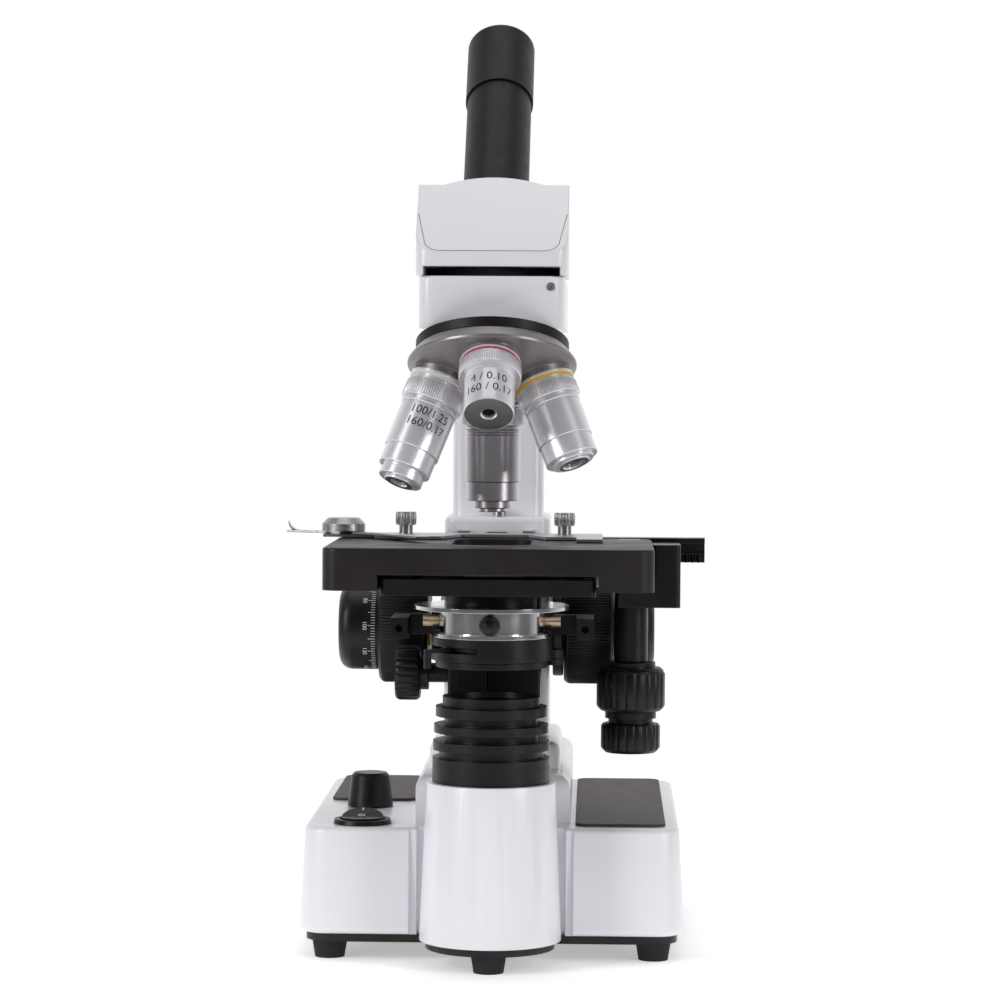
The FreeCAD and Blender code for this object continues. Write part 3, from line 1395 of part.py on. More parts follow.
def make_turret_pivot_screw():
    shoulder = -s.pivot_head_drop
    bottom = shoulder - s.pivot_head
    screw = turned("PivotScrew", [
        (0, bottom), (s.pivot_head_radius, bottom), (s.pivot_head_radius, shoulder), (s.pivot_radius, shoulder),
        (s.pivot_radius, -s.pivot_start), (0, -s.pivot_start)])
    sub_part("turret_pivot_screw", screw, 0, 0, s.apex_z, (-1, 0, 0), s.turret_tilt)


def cosine(angle):
    return Size(f"cos({angle.formula} * 1 deg)", math.cos(math.radians(angle.value)))


def sine(angle):
    return Size(f"sin({angle.formula} * 1 deg)", math.sin(math.radians(angle.value)))


def turret_cone_drop(radius):
    """How far down the nosepiece's axis its coned underside lies, at a radius."""
    face = s.shoulder_drop - s.socket_neck
    slope = sine(s.turret_tilt) / cosine(s.turret_tilt)
    return face * cosine(s.turret_tilt) - (radius - face * sine(s.turret_tilt)) * slope


def on_objective_axis(thing, turn):
    """Hang a piece made about Z from the apex, in the place that a turn of the nosepiece gives."""
    return put(thing, 0, 0, s.apex_z, turret_axis(), turn)


def make_turret():
    rim = s.turret_rim_radius
    nose = s.turret_nose_radius
    bowl = tilted(turned("Bowl", [
        (0, -s.turret_top_drop), (s.plate_radius, -s.turret_top_drop), (rim, -s.turret_rim_drop),
        (rim, -turret_cone_drop(rim)), (nose, -turret_cone_drop(nose)), (nose, -s.pivot_head_drop + s.slide_gap),
        (0, -s.pivot_head_drop + s.slide_gap)]))
    shoulder = -s.shoulder_drop
    pieces = [bowl]
    tools = [tilted(disc("TurretBore", s.pivot_radius + s.fit_gap, -s.apex_z / 3, -s.plate_drop + 1))]
    for turn in OBJECTIVE_TURNS.values():
        neck = ring("SocketNeck", s.thread_radius, s.socket_radius, shoulder, shoulder + 3)
        thread = rod("SocketThread", s.thread_radius, shoulder - 1, shoulder + s.thread_length)
        light = rod("SocketLight", s.turret_light_radius, shoulder - 1, -s.plate_top_drop + 6)
        socket = fused("Socket", [thread, light])
        pieces.append(on_objective_axis(neck, turn))
        tools.append(on_objective_axis(socket, turn))
    sub_part("turret", cut("Turret", fused("TurretWhole", pieces), tools))


def make_objective(label, steps, turn):
    """Turn one objective from its thread and steps, bored for its front lens."""
    shoulder = -s.shoulder_drop
    profile = [(0, shoulder + s.thread_length), (s.thread_radius, shoulder + s.thread_length),
               (s.thread_radius, shoulder)]
    drop = shoulder
    for length, radius in steps:
        profile += [(radius, drop), (radius, drop - length)]
        drop = drop - length
    profile.append((0, drop))
    recess = rod("LensRecess", s.lens_radius, drop - 1, drop + s.lens_thickness * 2)
    sub_part(label, cut("Objective", turned("ObjectiveBlank", profile), [recess]), 0, 0, s.apex_z,
             turret_axis(), turn)
    return on_objective_axis(disc("FrontLens", s.lens_radius, drop + s.lens_thickness, drop + s.lens_thickness * 2),
                             turn)


def make_objectives():
    lenses = [make_objective(label, OBJECTIVES[label], turn) for label, turn in OBJECTIVE_TURNS.items()]
    sub_part("front_lenses", grouped("FrontLenses", lenses))


# Head


def leaning(thing):
    """Lay a piece made about Z along the leaning eyepiece tube."""
    return put(thing, 0, 0, s.tube_origin_z, (-1, 0, 0), s.tube_lean)


def make_head_seat_ring():
    sub_part("head_seat_ring", turned("SeatRing", [
        (s.light_bore, s.crown_top), (s.seat_radius, s.crown_top), (s.seat_radius - 1.5, s.seat_top),
        (s.light_bore, s.seat_top)]))


def head_outside():
    half = s.head_half_width
    slope_start = s.head_band_top
    top_z = s.ridge_z + s.dome_rise
    top_y = s.ridge_y + s.dome_rise
    side = prism("HeadSide", "YZ_Plane", [
        (s.head_front, s.head_bottom), (s.head_rear, s.head_bottom), (s.head_rear, top_z + top_y - s.head_rear),
        (top_y, top_z), (s.head_front, slope_start)], half * 2, symmetric=True)
    plan = block("HeadPlan", (-half, half), (s.head_front, s.head_rear), (s.head_bottom, top_z + 1),
                 s.head_corner)
    shoulders = box("HeadShoulders", (-half, half), (s.head_front, s.head_rear), (s.head_bottom, s.ridge_z))
    dome_radius = (s.dome_half_width * s.dome_half_width + s.dome_rise * s.dome_rise) / (s.dome_rise * 2)
    drum = rod("DomeDrum", dome_radius, s.head_front, s.head_rear, z=top_z - dome_radius, along="y")
    crest = box("DomeCrest", (-s.dome_half_width, s.dome_half_width), (s.head_front, s.head_rear),
                (s.ridge_z - 1, top_z + 1))
    dome = doc.addObject("Part::MultiCommon", "Dome")
    dome.Shapes = [drum, crest]
    outside = doc.addObject("Part::MultiCommon", "HeadOutside")
    outside.Shapes = [side, plan, fused("HeadFront", [shoulders, dome])]
    return outside


def make_head_shell():
    below = s.head_bottom - 1
    gap = box("FrontGap", (-s.gap_half_width, s.gap_half_width), (s.head_front - 1, 0), (below, s.gap_top))
    seat = rod("SeatHollow", s.seat_clearance, below, s.gap_top)
    cavity = box("PrismHollow", (-s.cavity_half_width, s.cavity_half_width), (s.cavity_front, s.cavity_rear),
                 (s.gap_top - 1, s.cavity_top))
    tube = leaning(disc("TubeBore", s.tube_radius, s.tube_start, s.tube_end))
    cradle = ring("PrismCradle", s.light_bore - 1.5, s.cavity_half_width - 2, s.gap_top, s.prism_bottom)
    hollow_shell = cut("HollowHead", head_outside(), [gap, seat, cavity, tube])
    sub_part("head_shell", fused("HeadShell", [hollow_shell, cradle]))


def make_prism():
    half = s.prism_half_width - 1
    bottom = s.prism_bottom
    glass = prism("Prism", "YZ_Plane", [(-half, bottom), (half, bottom), (half, bottom + half / 2),
                                        (0, bottom + half), (-half, bottom + half)],
                  s.prism_half_width * 2, symmetric=True)
    sub_part("prism", glass)


def make_eyepiece_tube():
    sub_part("eyepiece_tube", ring("Tube", s.tube_bore, s.tube_radius, s.tube_start, s.tube_end),
             0, 0, s.tube_origin_z, (-1, 0, 0), s.tube_lean)


def make_eyepiece():
    body = turned("Eyepiece", [
        (s.eye_bore, s.eyepiece_shank_start), (s.eyepiece_shank, s.eyepiece_shank_start),
        (s.eyepiece_shank, s.eyepiece_start), (s.eyepiece_radius, s.eyepiece_start),
        (s.eyepiece_radius, s.eyepiece_end), (s.eye_bore, s.eyepiece_end)])
    round_edges(body, s.eyepiece_edge,
                lambda line: is_level(line, s.eyepiece_end) and line.Length > s.eyepiece_radius.value * 6)
    sub_part("eyepiece_body", body, 0, 0, s.tube_origin_z, (-1, 0, 0), s.tube_lean)
    sub_part("eye_lens", disc("EyeLens", s.eye_bore, s.eye_lens_start, s.eye_lens_end), 0, 0, s.tube_origin_z,
             (-1, 0, 0), s.tube_lean)


def build():
    write_sheet()
    makers = [
        make_rubber_feet, make_base_plate, make_base_housing, make_rest_pads,
        make_illuminator_collar, make_illuminator_barrel, make_field_lens, make_led_board,
        make_switch, make_dimmer, make_dc_socket,
        make_arm_casting, make_stand_screws, make_set_screws,
        make_focus_guide_rails, make_focus_slide, make_focus_rack, make_coarse_shaft, make_coarse_knobs,
        make_fine_shaft, make_fine_knobs, make_focus_bushes, make_tension_collar,
        make_stage_lower_plate, make_stage_y_rack, make_stage_top_plate, make_knob_bracket,
        make_y_knob, make_x_knob, make_x_slide_bar, make_slide_holder, make_holder_screws, make_slide_finger,
        make_condenser_body, make_condenser_lens, make_iris_housing, make_iris_lever, make_filter_holder,
        make_condenser_carrier, make_condenser_rack, make_condenser_knob, make_condenser_screws,
        make_nosepiece_base, make_turret_pivot_screw, make_turret, make_objectives,
        make_head_seat_ring, make_head_shell, make_prism, make_eyepiece_tube, make_eyepiece,
    ]
    for make in makers:
        make()
    doc.recompute()


def check():
    """Stop before anything is written if an object failed or a sub-part has no sound shape."""
    faults = [f"{item.Name} is {state}" for item in doc.Objects for state in item.State
              if state in ("Invalid", "Error")]
    for label, thing in sub_parts.items():
        if thing.Shape.isNull() or not thing.Shape.isValid() or not thing.Shape.Solids:
            faults.append(f"{label} has no sound shape")
    if faults:
        raise RuntimeError("; ".join(faults))


def write_steps():
    os.makedirs("parts", exist_ok=True)
    for label, thing in sub_parts.items():
        thing.Shape.exportStep(f"parts/{label}.step")


build()
check()
write_steps()
print(f"{len(sub_parts)} sub-parts written")
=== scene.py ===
"""Finishes, small details, camera and lights for a student's microscope. Metres, in the frame of the CAD."""

import json
import math

import bmesh
import bpy
from mathutils import Matrix, Vector


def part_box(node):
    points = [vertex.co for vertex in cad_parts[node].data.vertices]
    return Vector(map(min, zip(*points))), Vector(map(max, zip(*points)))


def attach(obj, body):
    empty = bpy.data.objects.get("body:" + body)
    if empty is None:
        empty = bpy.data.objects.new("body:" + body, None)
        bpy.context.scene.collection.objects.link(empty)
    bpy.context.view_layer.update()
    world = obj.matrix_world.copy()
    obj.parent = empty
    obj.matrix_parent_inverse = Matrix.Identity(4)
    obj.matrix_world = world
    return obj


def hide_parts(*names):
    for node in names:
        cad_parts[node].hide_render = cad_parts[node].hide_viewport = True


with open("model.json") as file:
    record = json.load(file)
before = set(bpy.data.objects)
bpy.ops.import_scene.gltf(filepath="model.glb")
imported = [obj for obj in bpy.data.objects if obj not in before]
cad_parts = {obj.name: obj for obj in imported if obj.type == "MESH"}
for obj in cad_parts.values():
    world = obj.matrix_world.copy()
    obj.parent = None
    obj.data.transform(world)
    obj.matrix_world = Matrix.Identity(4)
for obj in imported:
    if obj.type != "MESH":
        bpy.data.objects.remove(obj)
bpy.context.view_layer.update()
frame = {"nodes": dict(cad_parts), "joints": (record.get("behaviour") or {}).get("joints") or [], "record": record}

MM = 0.001
JOINTS = {joint["name"]: joint for joint in frame["joints"]}
NODES = frame["nodes"]


# Places


def middle(node):
    low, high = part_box(node)
    return (low + high) / 2


def joint_place(name):
    return Vector(JOINTS[name]["pos_m"])


def joint_axis(name):
    return Vector(JOINTS[name]["axis"]).normalized()


AXIS_Y = middle("field_lens").y
APEX = joint_place("turret_turn")
TURRET_AXIS = joint_axis("turret_turn")
FOCUS_AXLE = joint_place("coarse_focus_turn")

# The objectives' shoulders, as a height from the nosepiece's apex: one 40x objective above its front end.
LENGTH_40X = 45 * MM
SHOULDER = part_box("objective_40x")[0].z + LENGTH_40X - APEX.z


def along(place, axis):
    """The placement whose Z runs along an axis from a place."""
    turn = Vector((0, 0, 1)).rotation_difference(Vector(axis)).to_matrix().to_4x4()
    return Matrix.Translation(place) @ turn


def around(place, radius, angle, height):
    """The point at a radius, angle and height about a placement's Z."""
    return place @ Vector((radius * math.cos(angle), radius * math.sin(angle), height))


# Materials

# Surfaces darker than this also shine less.
DARK_COLOR = 0.03
DARK_SPECULAR = 0.32

# The stretch of a noise texture's values that holds nearly all of it.
NOISE_LOW = 0.3
NOISE_HIGH = 0.7

COLOR_DETAIL = 4
ROUGHNESS_DETAIL = 5
RELIEF_DETAIL = 2

# The colour sockets of a Mix node.
MIX_FACTOR = 0
MIX_DARKER = 6
MIX_LIGHTER = 7
MIX_RESULT = 2

EVEN = (1, 1, 1)


class Surface:
    """A procedural material: one Principled shader with colour, roughness and relief from noise."""

    def __init__(self, name, color, roughness, metallic=0.0):
        self.material = bpy.data.materials.new(name)
        self.material.use_nodes = True
        self.nodes = self.material.node_tree.nodes
        self.links = self.material.node_tree.links
        self.shader = self.nodes["Principled BSDF"]
        self.place = self.nodes.new("ShaderNodeTexCoord").outputs["Object"]
        self.shader.inputs["Base Color"].default_value = (*color, 1)
        self.shader.inputs["Roughness"].default_value = roughness
        self.shader.inputs["Metallic"].default_value = metallic
        self.material.diffuse_color = (*color, 1)
        self.color = color
        self.roughness = roughness
        self.edge = None
        if max(color) < DARK_COLOR:
            self.shader.inputs["Specular IOR Level"].default_value = DARK_SPECULAR

    def noise(self, size, detail, stretch):
        """Noise whose features are about this many millimetres across."""
        mapping = self.nodes.new("ShaderNodeMapping")
        mapping.inputs["Scale"].default_value = stretch
        texture = self.nodes.new("ShaderNodeTexNoise")
        texture.inputs["Scale"].default_value = 1 / (size * MM)
        texture.inputs["Detail"].default_value = detail
        self.links.new(self.place, mapping.inputs["Vector"])
        self.links.new(mapping.outputs["Vector"], texture.inputs["Vector"])
        return texture.outputs["Fac"]

    def spread(self, source, low, high):
        """Noise stretched to run from low to high."""
        scale = self.nodes.new("ShaderNodeMapRange")
        scale.inputs["From Min"].default_value = NOISE_LOW
        scale.inputs["From Max"].default_value = NOISE_HIGH
        scale.inputs["To Min"].default_value = low
        scale.inputs["To Max"].default_value = high
        self.links.new(source, scale.inputs["Value"])
        return scale.outputs["Result"]

    def vary_color(self, size, amount, stretch=EVEN):
        """Vary the colour by a share of itself, in patches of a size in millimetres."""
        darker = [channel * (1 - amount) for channel in self.color]
        lighter = [min(1, channel * (1 + amount)) for channel in self.color]
        mix = self.nodes.new("ShaderNodeMix")
        mix.data_type = "RGBA"
        mix.inputs[MIX_DARKER].default_value = (*darker, 1)
        mix.inputs[MIX_LIGHTER].default_value = (*lighter, 1)
        patches = self.spread(self.noise(size, COLOR_DETAIL, stretch), 0, 1)
        self.links.new(patches, mix.inputs[MIX_FACTOR])
        self.links.new(mix.outputs[MIX_RESULT], self.shader.inputs["Base Color"])
        return self

    def vary_roughness(self, size, amount, stretch=EVEN):
        """Vary the roughness by an amount either way, in patches of a size in millimetres."""
        patches = self.noise(size, ROUGHNESS_DETAIL, stretch)
        span = self.spread(patches, self.roughness - amount, self.roughness + amount)
        self.links.new(span, self.shader.inputs["Roughness"])
        return self

    def soften_edges(self, radius):
        """Round the look of sharp edges by a radius in millimetres."""
        bevel = self.nodes.new("ShaderNodeBevel")
        bevel.samples = 6
        bevel.inputs["Radius"].default_value = radius * MM
        self.links.new(bevel.outputs["Normal"], self.shader.inputs["Normal"])
        self.edge = bevel.outputs["Normal"]
        return self

    def relief(self, size, height):
        """Fine relief, its features and height in millimetres."""
        bump = self.nodes.new("ShaderNodeBump")
        bump.inputs["Strength"].default_value = 1
        bump.inputs["Distance"].default_value = height * MM
        self.links.new(self.noise(size, RELIEF_DETAIL, EVEN), bump.inputs["Height"])
        if self.edge:
            self.links.new(self.edge, bump.inputs["Normal"])
        self.links.new(bump.outputs["Normal"], self.shader.inputs["Normal"])
        return self

    def coat(self, weight, roughness):
        """A clear coat over the surface."""
        self.shader.inputs["Coat Weight"].default_value = weight
        self.shader.inputs["Coat Roughness"].default_value = roughness
        return self


def white_enamel():
    surface = Surface("white_enamel", (0.82, 0.815, 0.86), 0.34)
    surface.vary_color(60, 0.01).vary_roughness(25, 0.04)
    return surface.soften_edges(0.9).relief(1.6, 0.004).coat(0.35, 0.16)


def black_moulding():
    surface = Surface("black_moulding", (0.0065, 0.0045, 0.0047), 0.38)
    return surface.vary_color(12, 0.2).vary_roughness(6, 0.06).soften_edges(0.35).relief(0.35, 0.006)


def black_enamel():
    surface = Surface("black_enamel", (0.0060, 0.0040, 0.0042), 0.36)
    surface.vary_color(20, 0.2).vary_roughness(9, 0.06)
    return surface.soften_edges(0.4).relief(0.6, 0.006).coat(0.1, 0.3)


def stage_enamel():
    """The stage's fine-grained black, its gloss uneven from slides and hands."""
    surface = Surface("stage_enamel", (0.014, 0.0105, 0.0105), 0.46)
    return surface.vary_color(30, 0.22).vary_roughness(18, 0.08).soften_edges(0.6).relief(0.4, 0.008)


def matt_black():
    surface = Surface("matt_black", (0.0030, 0.0020, 0.0018), 0.46)
    return surface.vary_color(9, 0.2).vary_roughness(5, 0.05).soften_edges(0.3).relief(0.3, 0.012)


def foot_rubber():
    surface = Surface("foot_rubber", (0.016, 0.015, 0.015), 0.75)
    return surface.vary_color(5, 0.2).soften_edges(0.4).relief(0.5, 0.03)


def pad_grain():
    """The moulded pads' small leathery grain."""
    surface = Surface("pad_grain", (0.062, 0.046, 0.048), 0.62)
    return surface.vary_color(25, 0.04).vary_roughness(7, 0.03).soften_edges(0.4).relief(0.4, 0.006)


def turned_steel():
    surface = Surface("turned_steel", (0.60, 0.59, 0.60), 0.30, 1.0)
    return surface.vary_color(12, 0.05).vary_roughness(8, 0.04).soften_edges(0.2)


def brushed_plate():
    """Sheet steel brushed along X."""
    surface = Surface("brushed_plate", (0.44, 0.44, 0.46), 0.36, 1.0)
    surface.vary_color(3, 0.05, stretch=(0.06, 1, 1))
    surface.vary_roughness(0.6, 0.1, stretch=(0.03, 1, 1))
    return surface.soften_edges(0.25)


def bright_chrome():
    surface = Surface("bright_chrome", (0.74, 0.74, 0.77), 0.15, 1.0)
    return surface.vary_roughness(8, 0.04).soften_edges(0.25)


def satin_chrome():
    """The objectives' fine satin plating, light from every side."""
    surface = Surface("satin_chrome", (0.84, 0.83, 0.865), 0.29, 0.55)
    return surface.vary_color(16, 0.03).vary_roughness(12, 0.02)


def polished_chrome():
    """A darker, more metallic copy of the objectives' satin plating for the objective that stands in the light
    path: painted shade, as that objective sits over the dark stage.
    """
    return Surface("polished_chrome", (0.60, 0.57, 0.60), 0.29, 0.95).vary_color(30, 0.012)


def knurled_chrome():
    """The objectives' knurled collars."""
    return Surface("knurled_chrome", (0.72, 0.71, 0.73), 0.42, 0.75).vary_color(16, 0.03)


def dark_steel():
    """The thumbscrews' dull knurling."""
    return Surface("dark_steel", (0.36, 0.35, 0.36), 0.3, 1.0).vary_color(3, 0.1).soften_edges(0.15)


# Painted shade: a near-black that stands in for the shade deep inside an objective's front hole.
def dark_hollow():
    return Surface("dark_hollow", (0.006, 0.005, 0.005), 0.6).vary_color(3, 0.2)


def dull_face():
    """The fine-turned end faces."""
    surface = Surface("dull_face", (0.26, 0.25, 0.26), 0.42, 1.0)
    return surface.vary_color(0.5, 0.06).vary_roughness(4, 0.05)


def brass_screw():
    surface = Surface("brass_screw", (0.42, 0.33, 0.22), 0.28, 1.0)
    return surface.vary_color(2, 0.1).vary_roughness(2, 0.05)


def grey_casting():
    """Grey satin enamel with a little metal flake in it."""
    surface = Surface("grey_casting", (0.30, 0.28, 0.29), 0.36, 0.75)
    return surface.vary_color(0.5, 0.12).vary_roughness(10, 0.06).soften_edges(0.5).relief(0.5, 0.006)


def bearing_bronze():
    surface = Surface("bearing_bronze", (0.52, 0.34, 0.13), 0.3, 1.0)
    return surface.vary_color(3, 0.1).vary_roughness(1, 0.08)


def lens_glass():
    surface = Surface("lens_glass", (0.93, 0.96, 0.98), 0.02)
    surface.shader.inputs["Transmission Weight"].default_value = 1
    surface.shader.inputs["IOR"].default_value = 1.52
    return surface.vary_roughness(10, 0.01)


def board_white():
    return Surface("board_white", (0.6, 0.6, 0.55), 0.5).vary_color(2, 0.08).relief(0.5, 0.01)


def ring_paint(name, color, variation=0.05):
    return Surface(name, color, 0.35).vary_color(4, variation).soften_edges(0.1)


def ring_red():
    return ring_paint("ring_red", (0.50, 0.010, 0.032))


def ring_yellow():
    return ring_paint("ring_yellow", (0.80, 0.50, 0.012))


def ring_blue():
    return ring_paint("ring_blue", (0.02, 0.10, 0.35))


def ring_white():
    return ring_paint("ring_white", (0.78, 0.78, 0.78), variation=0.03)


def ink_black():
    return Surface("ink_black", (0.012, 0.012, 0.013), 0.5).vary_color(2, 0.2)


def paint_white():
    return Surface("paint_white", (0.75, 0.75, 0.75), 0.5).vary_color(2, 0.05)


def joint_shadow():
    """The grey of a fine gap between two white mouldings."""
    return Surface("joint_shadow", (0.22, 0.22, 0.25), 0.7).vary_color(5, 0.1)


SLOT_FINISHES = {
    "white_plastic": white_enamel,
    "white_casting": white_enamel,
    "black_plastic": black_moulding,
    "black_metal": black_enamel,
    "rubber": foot_rubber,
    "pad_grey": pad_grain,
    "steel": turned_steel,
    "chrome": bright_chrome,
    "grey_metal": grey_casting,
    "aluminium": satin_chrome,
    "bronze": bearing_bronze,
    "glass": lens_glass,
    "circuit": board_white,
}
NODE_FINISHES = {
    "stage_top_plate": stage_enamel,
    "eyepiece_body": matt_black,
    "eyepiece_tube": matt_black,
    "nosepiece_base": matt_black,
    "slide_holder": brushed_plate,
    "slide_finger": brushed_plate,
    "holder_screws": dark_steel,
    "condenser_rack": black_enamel,
    "focus_rack": black_enamel,
    "condenser_screws": brass_screw,
}
made = {}


def finish(maker):
    """The material that a function makes, made once."""
    if maker not in made:
        made[maker] = maker().material
    return made[maker]


def dress_cad_nodes():
    for row in frame["record"]["subparts"]:
        node = row["node"]
        maker = NODE_FINISHES.get(node, SLOT_FINISHES[row["material_slot"]])
        thing = NODES[node]
        thing.data.materials.clear()
        thing.data.materials.append(finish(maker))


# Meshes


def add_piece(name, mesh, maker, body):
    """Show a mesh, already in place, as a piece that rides on a body."""
    mesh.materials.clear()
    mesh.materials.append(finish(maker))
    thing = bpy.data.objects.new(name, mesh)
    bpy.context.scene.collection.objects.link(thing)
    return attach(thing, body)


def closed_mesh(name, form):
    """The mesh of a form, its faces turned outwards."""
    bmesh.ops.recalc_face_normals(form, faces=form.faces)
    mesh = bpy.data.meshes.new(name)
    form.to_mesh(mesh)
    form.free()
    return mesh


def turned_mesh(name, profile, place, steps=96):
    """The closed outline of (radius, height) points turned about a placement's Z."""
    form = bmesh.new()
    rings = []
    for step in range(steps):
        angle = math.tau * step / steps
        rings.append([form.verts.new(around(place, radius, angle, height)) for radius, height in profile])
    for step, ring in enumerate(rings):
        following = rings[(step + 1) % steps]
        for corner in range(len(profile)):
            after = (corner + 1) % len(profile)
            form.faces.new((ring[corner], following[corner], following[after], ring[after]))
    return closed_mesh(name, form)


def square_section(inner, outer, start, end):
    """The outline of a plain ring between two radii and two heights."""
    return [(inner, start), (outer, start), (outer, end), (inner, end)]


def ribbed_mesh(name, place, radius, bottom, top, count, proud, fill, flatness=2):
    """Rounded ribs round a wheel. Their ends slope down to it, and fill is the ribs' share of the rim."""
    form = bmesh.new()
    across = 6
    sunk = 0.05 * MM
    half_width = math.pi * fill / count
    slope = min(proud * 1.5, (top - bottom) / 4)
    heights = ((bottom, 0), (bottom + slope, 1), (top - slope, 1), (top, 0))
    for rib in range(count):
        centre = math.tau * rib / count
        rows = []
        for height, share in heights:
            row = []
            for step in range(across + 1):
                swing = 2 * step / across - 1
                rise = proud * share * math.sqrt(1 - abs(swing) ** flatness)
                angle = centre + swing * half_width
                row.append(form.verts.new(around(place, radius + rise - sunk, angle, height)))
            rows.append(row)
        for lower, upper in zip(rows, rows[1:]):
            for step in range(across):
                form.faces.new((lower[step], lower[step + 1], upper[step + 1], upper[step]))
    mesh = closed_mesh(name, form)
    mesh.shade_smooth()
    return mesh


def letters_mesh(name, words, size, place_letter):
    """Flat letters whose points a function lays on a surface."""
    curve = bpy.data.curves.new(name, "FONT")
    curve.body = words
    curve.size = size
    curve.align_x = "CENTER"
    curve.resolution_u = 4
    carrier = bpy.data.objects.new(name, curve)
    bpy.context.scene.collection.objects.link(carrier)
    bpy.context.view_layer.update()
    mesh = bpy.data.meshes.new_from_object(carrier.evaluated_get(bpy.context.evaluated_depsgraph_get()))
    bpy.data.objects.remove(carrier)
    bpy.data.curves.remove(curve)
    for point in mesh.vertices:
        point.co = place_letter(point.co.x, point.co.y)
    mesh.name = name
    return mesh


def on_barrel(place, radius, middle_angle, height):
    """Lays letters round a barrel, upright, their middle at an angle."""
    def lay(x, y):
        return around(place, radius, middle_angle + x / radius, height + y)
    return lay


def joined_mesh(name, meshes):
    form = bmesh.new()
    for mesh in meshes:
        form.from_mesh(mesh)
        bpy.data.meshes.remove(mesh)
    joined = bpy.data.meshes.new(name)
    form.to_mesh(joined)
    form.free()
    return joined


def add_bar(form, place, size):
    """Add a small block, centred on a placement, to a form."""
    scale = Matrix.Diagonal((*size, 1))
    bmesh.ops.create_cube(form, size=1, matrix=place @ scale)


# Objectives

# Each objective's turn about the nosepiece, coloured ring, hole, words, and steps of (length, radius) down
# from its shoulder, in degrees and millimetres. The second step holds the ring and the third is knurled.
OBJECTIVES = {
    "objective_4x": {
        "turn": 180, "ring": ring_red, "hole": 2.7,
        "words": ("4 / 0.10", "160 / 0.17"), "size": 5.0,
        "text_at": 15.7, "text_radius": 9.85, "text_turn": 0,
        "steps": [(1.3, 12.0), (0.8, 11.2), (6.0, 12.0), (1.5, 9.7), (15.8, 9.85)],
    },
    "objective_10x": {
        "turn": 90, "ring": ring_yellow, "hole": 4.0,
        "steps": [(1.3, 12.0), (2.0, 11.2), (6.0, 12.0), (1.4, 10.6), (1.0, 11.3), (1.0, 10.6),
                  (14.0, 11.0), (7.6, 10.5), (1.4, 8.5), (0.7, 6.5)],
    },
    "objective_40x": {
        "turn": 0, "ring": ring_blue, "hole": 3.0,
        "steps": [(1.3, 12.0), (2.0, 11.2), (7.6, 12.0), (1.4, 10.6), (1.0, 11.3), (1.0, 10.6),
                  (18.7, 11.0), (7.5, 10.4), (3.0, 7.5), (1.5, 5.5)],
    },
    "objective_100x": {
        "turn": 270, "ring": ring_white, "hole": 3.0,
        "words": ("100/1.25", "160/0.17"), "size": 4.9,
        "text_at": 18.6, "text_radius": 11.0, "text_turn": 9,
        "steps": [(1.3, 12.0), (2.3, 11.2), (7.6, 12.0), (1.4, 10.6), (1.0, 11.3), (1.0, 10.6),
                  (17.2, 11.0), (7.6, 10.4), (1.4, 8.4), (3.2, 8.8), (1.0, 6.0)],
    },
}

# Sizes that the objectives share, in millimetres. CENTRE is the small radius where an outline nears its axis.
CHAMFER = 0.22
TOP_BORE = 3
HOLE_DEPTH = 4
CENTRE = 0.1
END_RIM = 0.5
RING_WIDTH = 0.9
RING_INNER = 11
RING_OUTER = 11.95
KNURL_MARGIN = 0.5
KNURL_PROUD = 0.26
WORDS_PROUD = 0.05

# The ribs of a knurled collar, and the step between two lines of words in letter sizes.
KNURL_COUNT = 80
LINE_SPACING = 1.05


def objective_place(turn):
    """The nosepiece's apex, turned so that -Z runs down one objective."""
    return Matrix.Translation(APEX) @ Matrix.Rotation(math.radians(turn), 4, TURRET_AXIS)


def facing(place):
    """The angle about a placement's Z of the side that looks to the front."""
    front = place.to_3x3().inverted() @ Vector((0, -1, 0))
    return math.atan2(front.y, front.x)


def stepped_outline(steps, hole):
    """A turned body's outline from its shoulder down, each step chamfered, with a blind hole in its front."""
    outline = [(TOP_BORE, 0)]
    height = 0
    for length, radius in steps:
        foot = height - length
        outline += [(radius - CHAMFER, height), (radius, height - CHAMFER)]
        outline += [(radius, foot + CHAMFER), (radius - CHAMFER, foot)]
        height = foot
    mouth = CHAMFER * 2
    bottom = height + HOLE_DEPTH
    return outline + [(hole + mouth, height), (hole, height + mouth), (hole, bottom), (CENTRE, bottom)]


def scaled(outline):
    """An outline in millimetres from the shoulder, as metres from the apex."""
    return [(radius * MM, SHOULDER + height * MM) for radius, height in outline]


def make_objectives():
    for node, facts in OBJECTIVES.items():
        place = objective_place(facts["turn"])
        outline = scaled(stepped_outline(facts["steps"], facts["hole"]))
        mesh = turned_mesh(node + "_body", outline, place, steps=128)
        mesh.shade_smooth()
        mesh.set_sharp_from_angle(angle=math.radians(28))
        # The 40x objective gets the darkened copy of the plating: painted shade from the dark stage over it.
        maker = polished_chrome if node == "objective_40x" else satin_chrome
        body = add_piece(node + "_body", mesh, maker, "turret")
        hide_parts(node)
        add_objective_end(node, facts, place)
        add_objective_rings(node, facts, place)
        if "words" in facts:
            add_objective_words(node, facts, place)


def add_turned(name, outline, place, maker):
    """A turned detail of an objective, its outline in millimetres from the shoulder."""
    add_piece(name, turned_mesh(name, scaled(outline), place), maker, "turret")


def add_objective_end(node, facts, place):
    """The dull end face round the front lens, and a near-black disc deep in the hole: painted shade for the depth
    of the bore behind the lens.
    """
    end = -sum(length for length, _ in facts["steps"])
    last_radius = facts["steps"][-1][1]
    face = square_section(facts["hole"] + END_RIM, last_radius - END_RIM, end + 0.3, end - 0.03)
    add_turned(node + "_end", face, place, dull_face)
    # A near-black disc near the hole's floor, painted shade of the deep bore.
    shade_disc = square_section(CENTRE, facts["hole"] - 0.02, end + 2.2, end + 3.9)
    add_turned(node + "_hollow", shade_disc, place, dark_hollow)


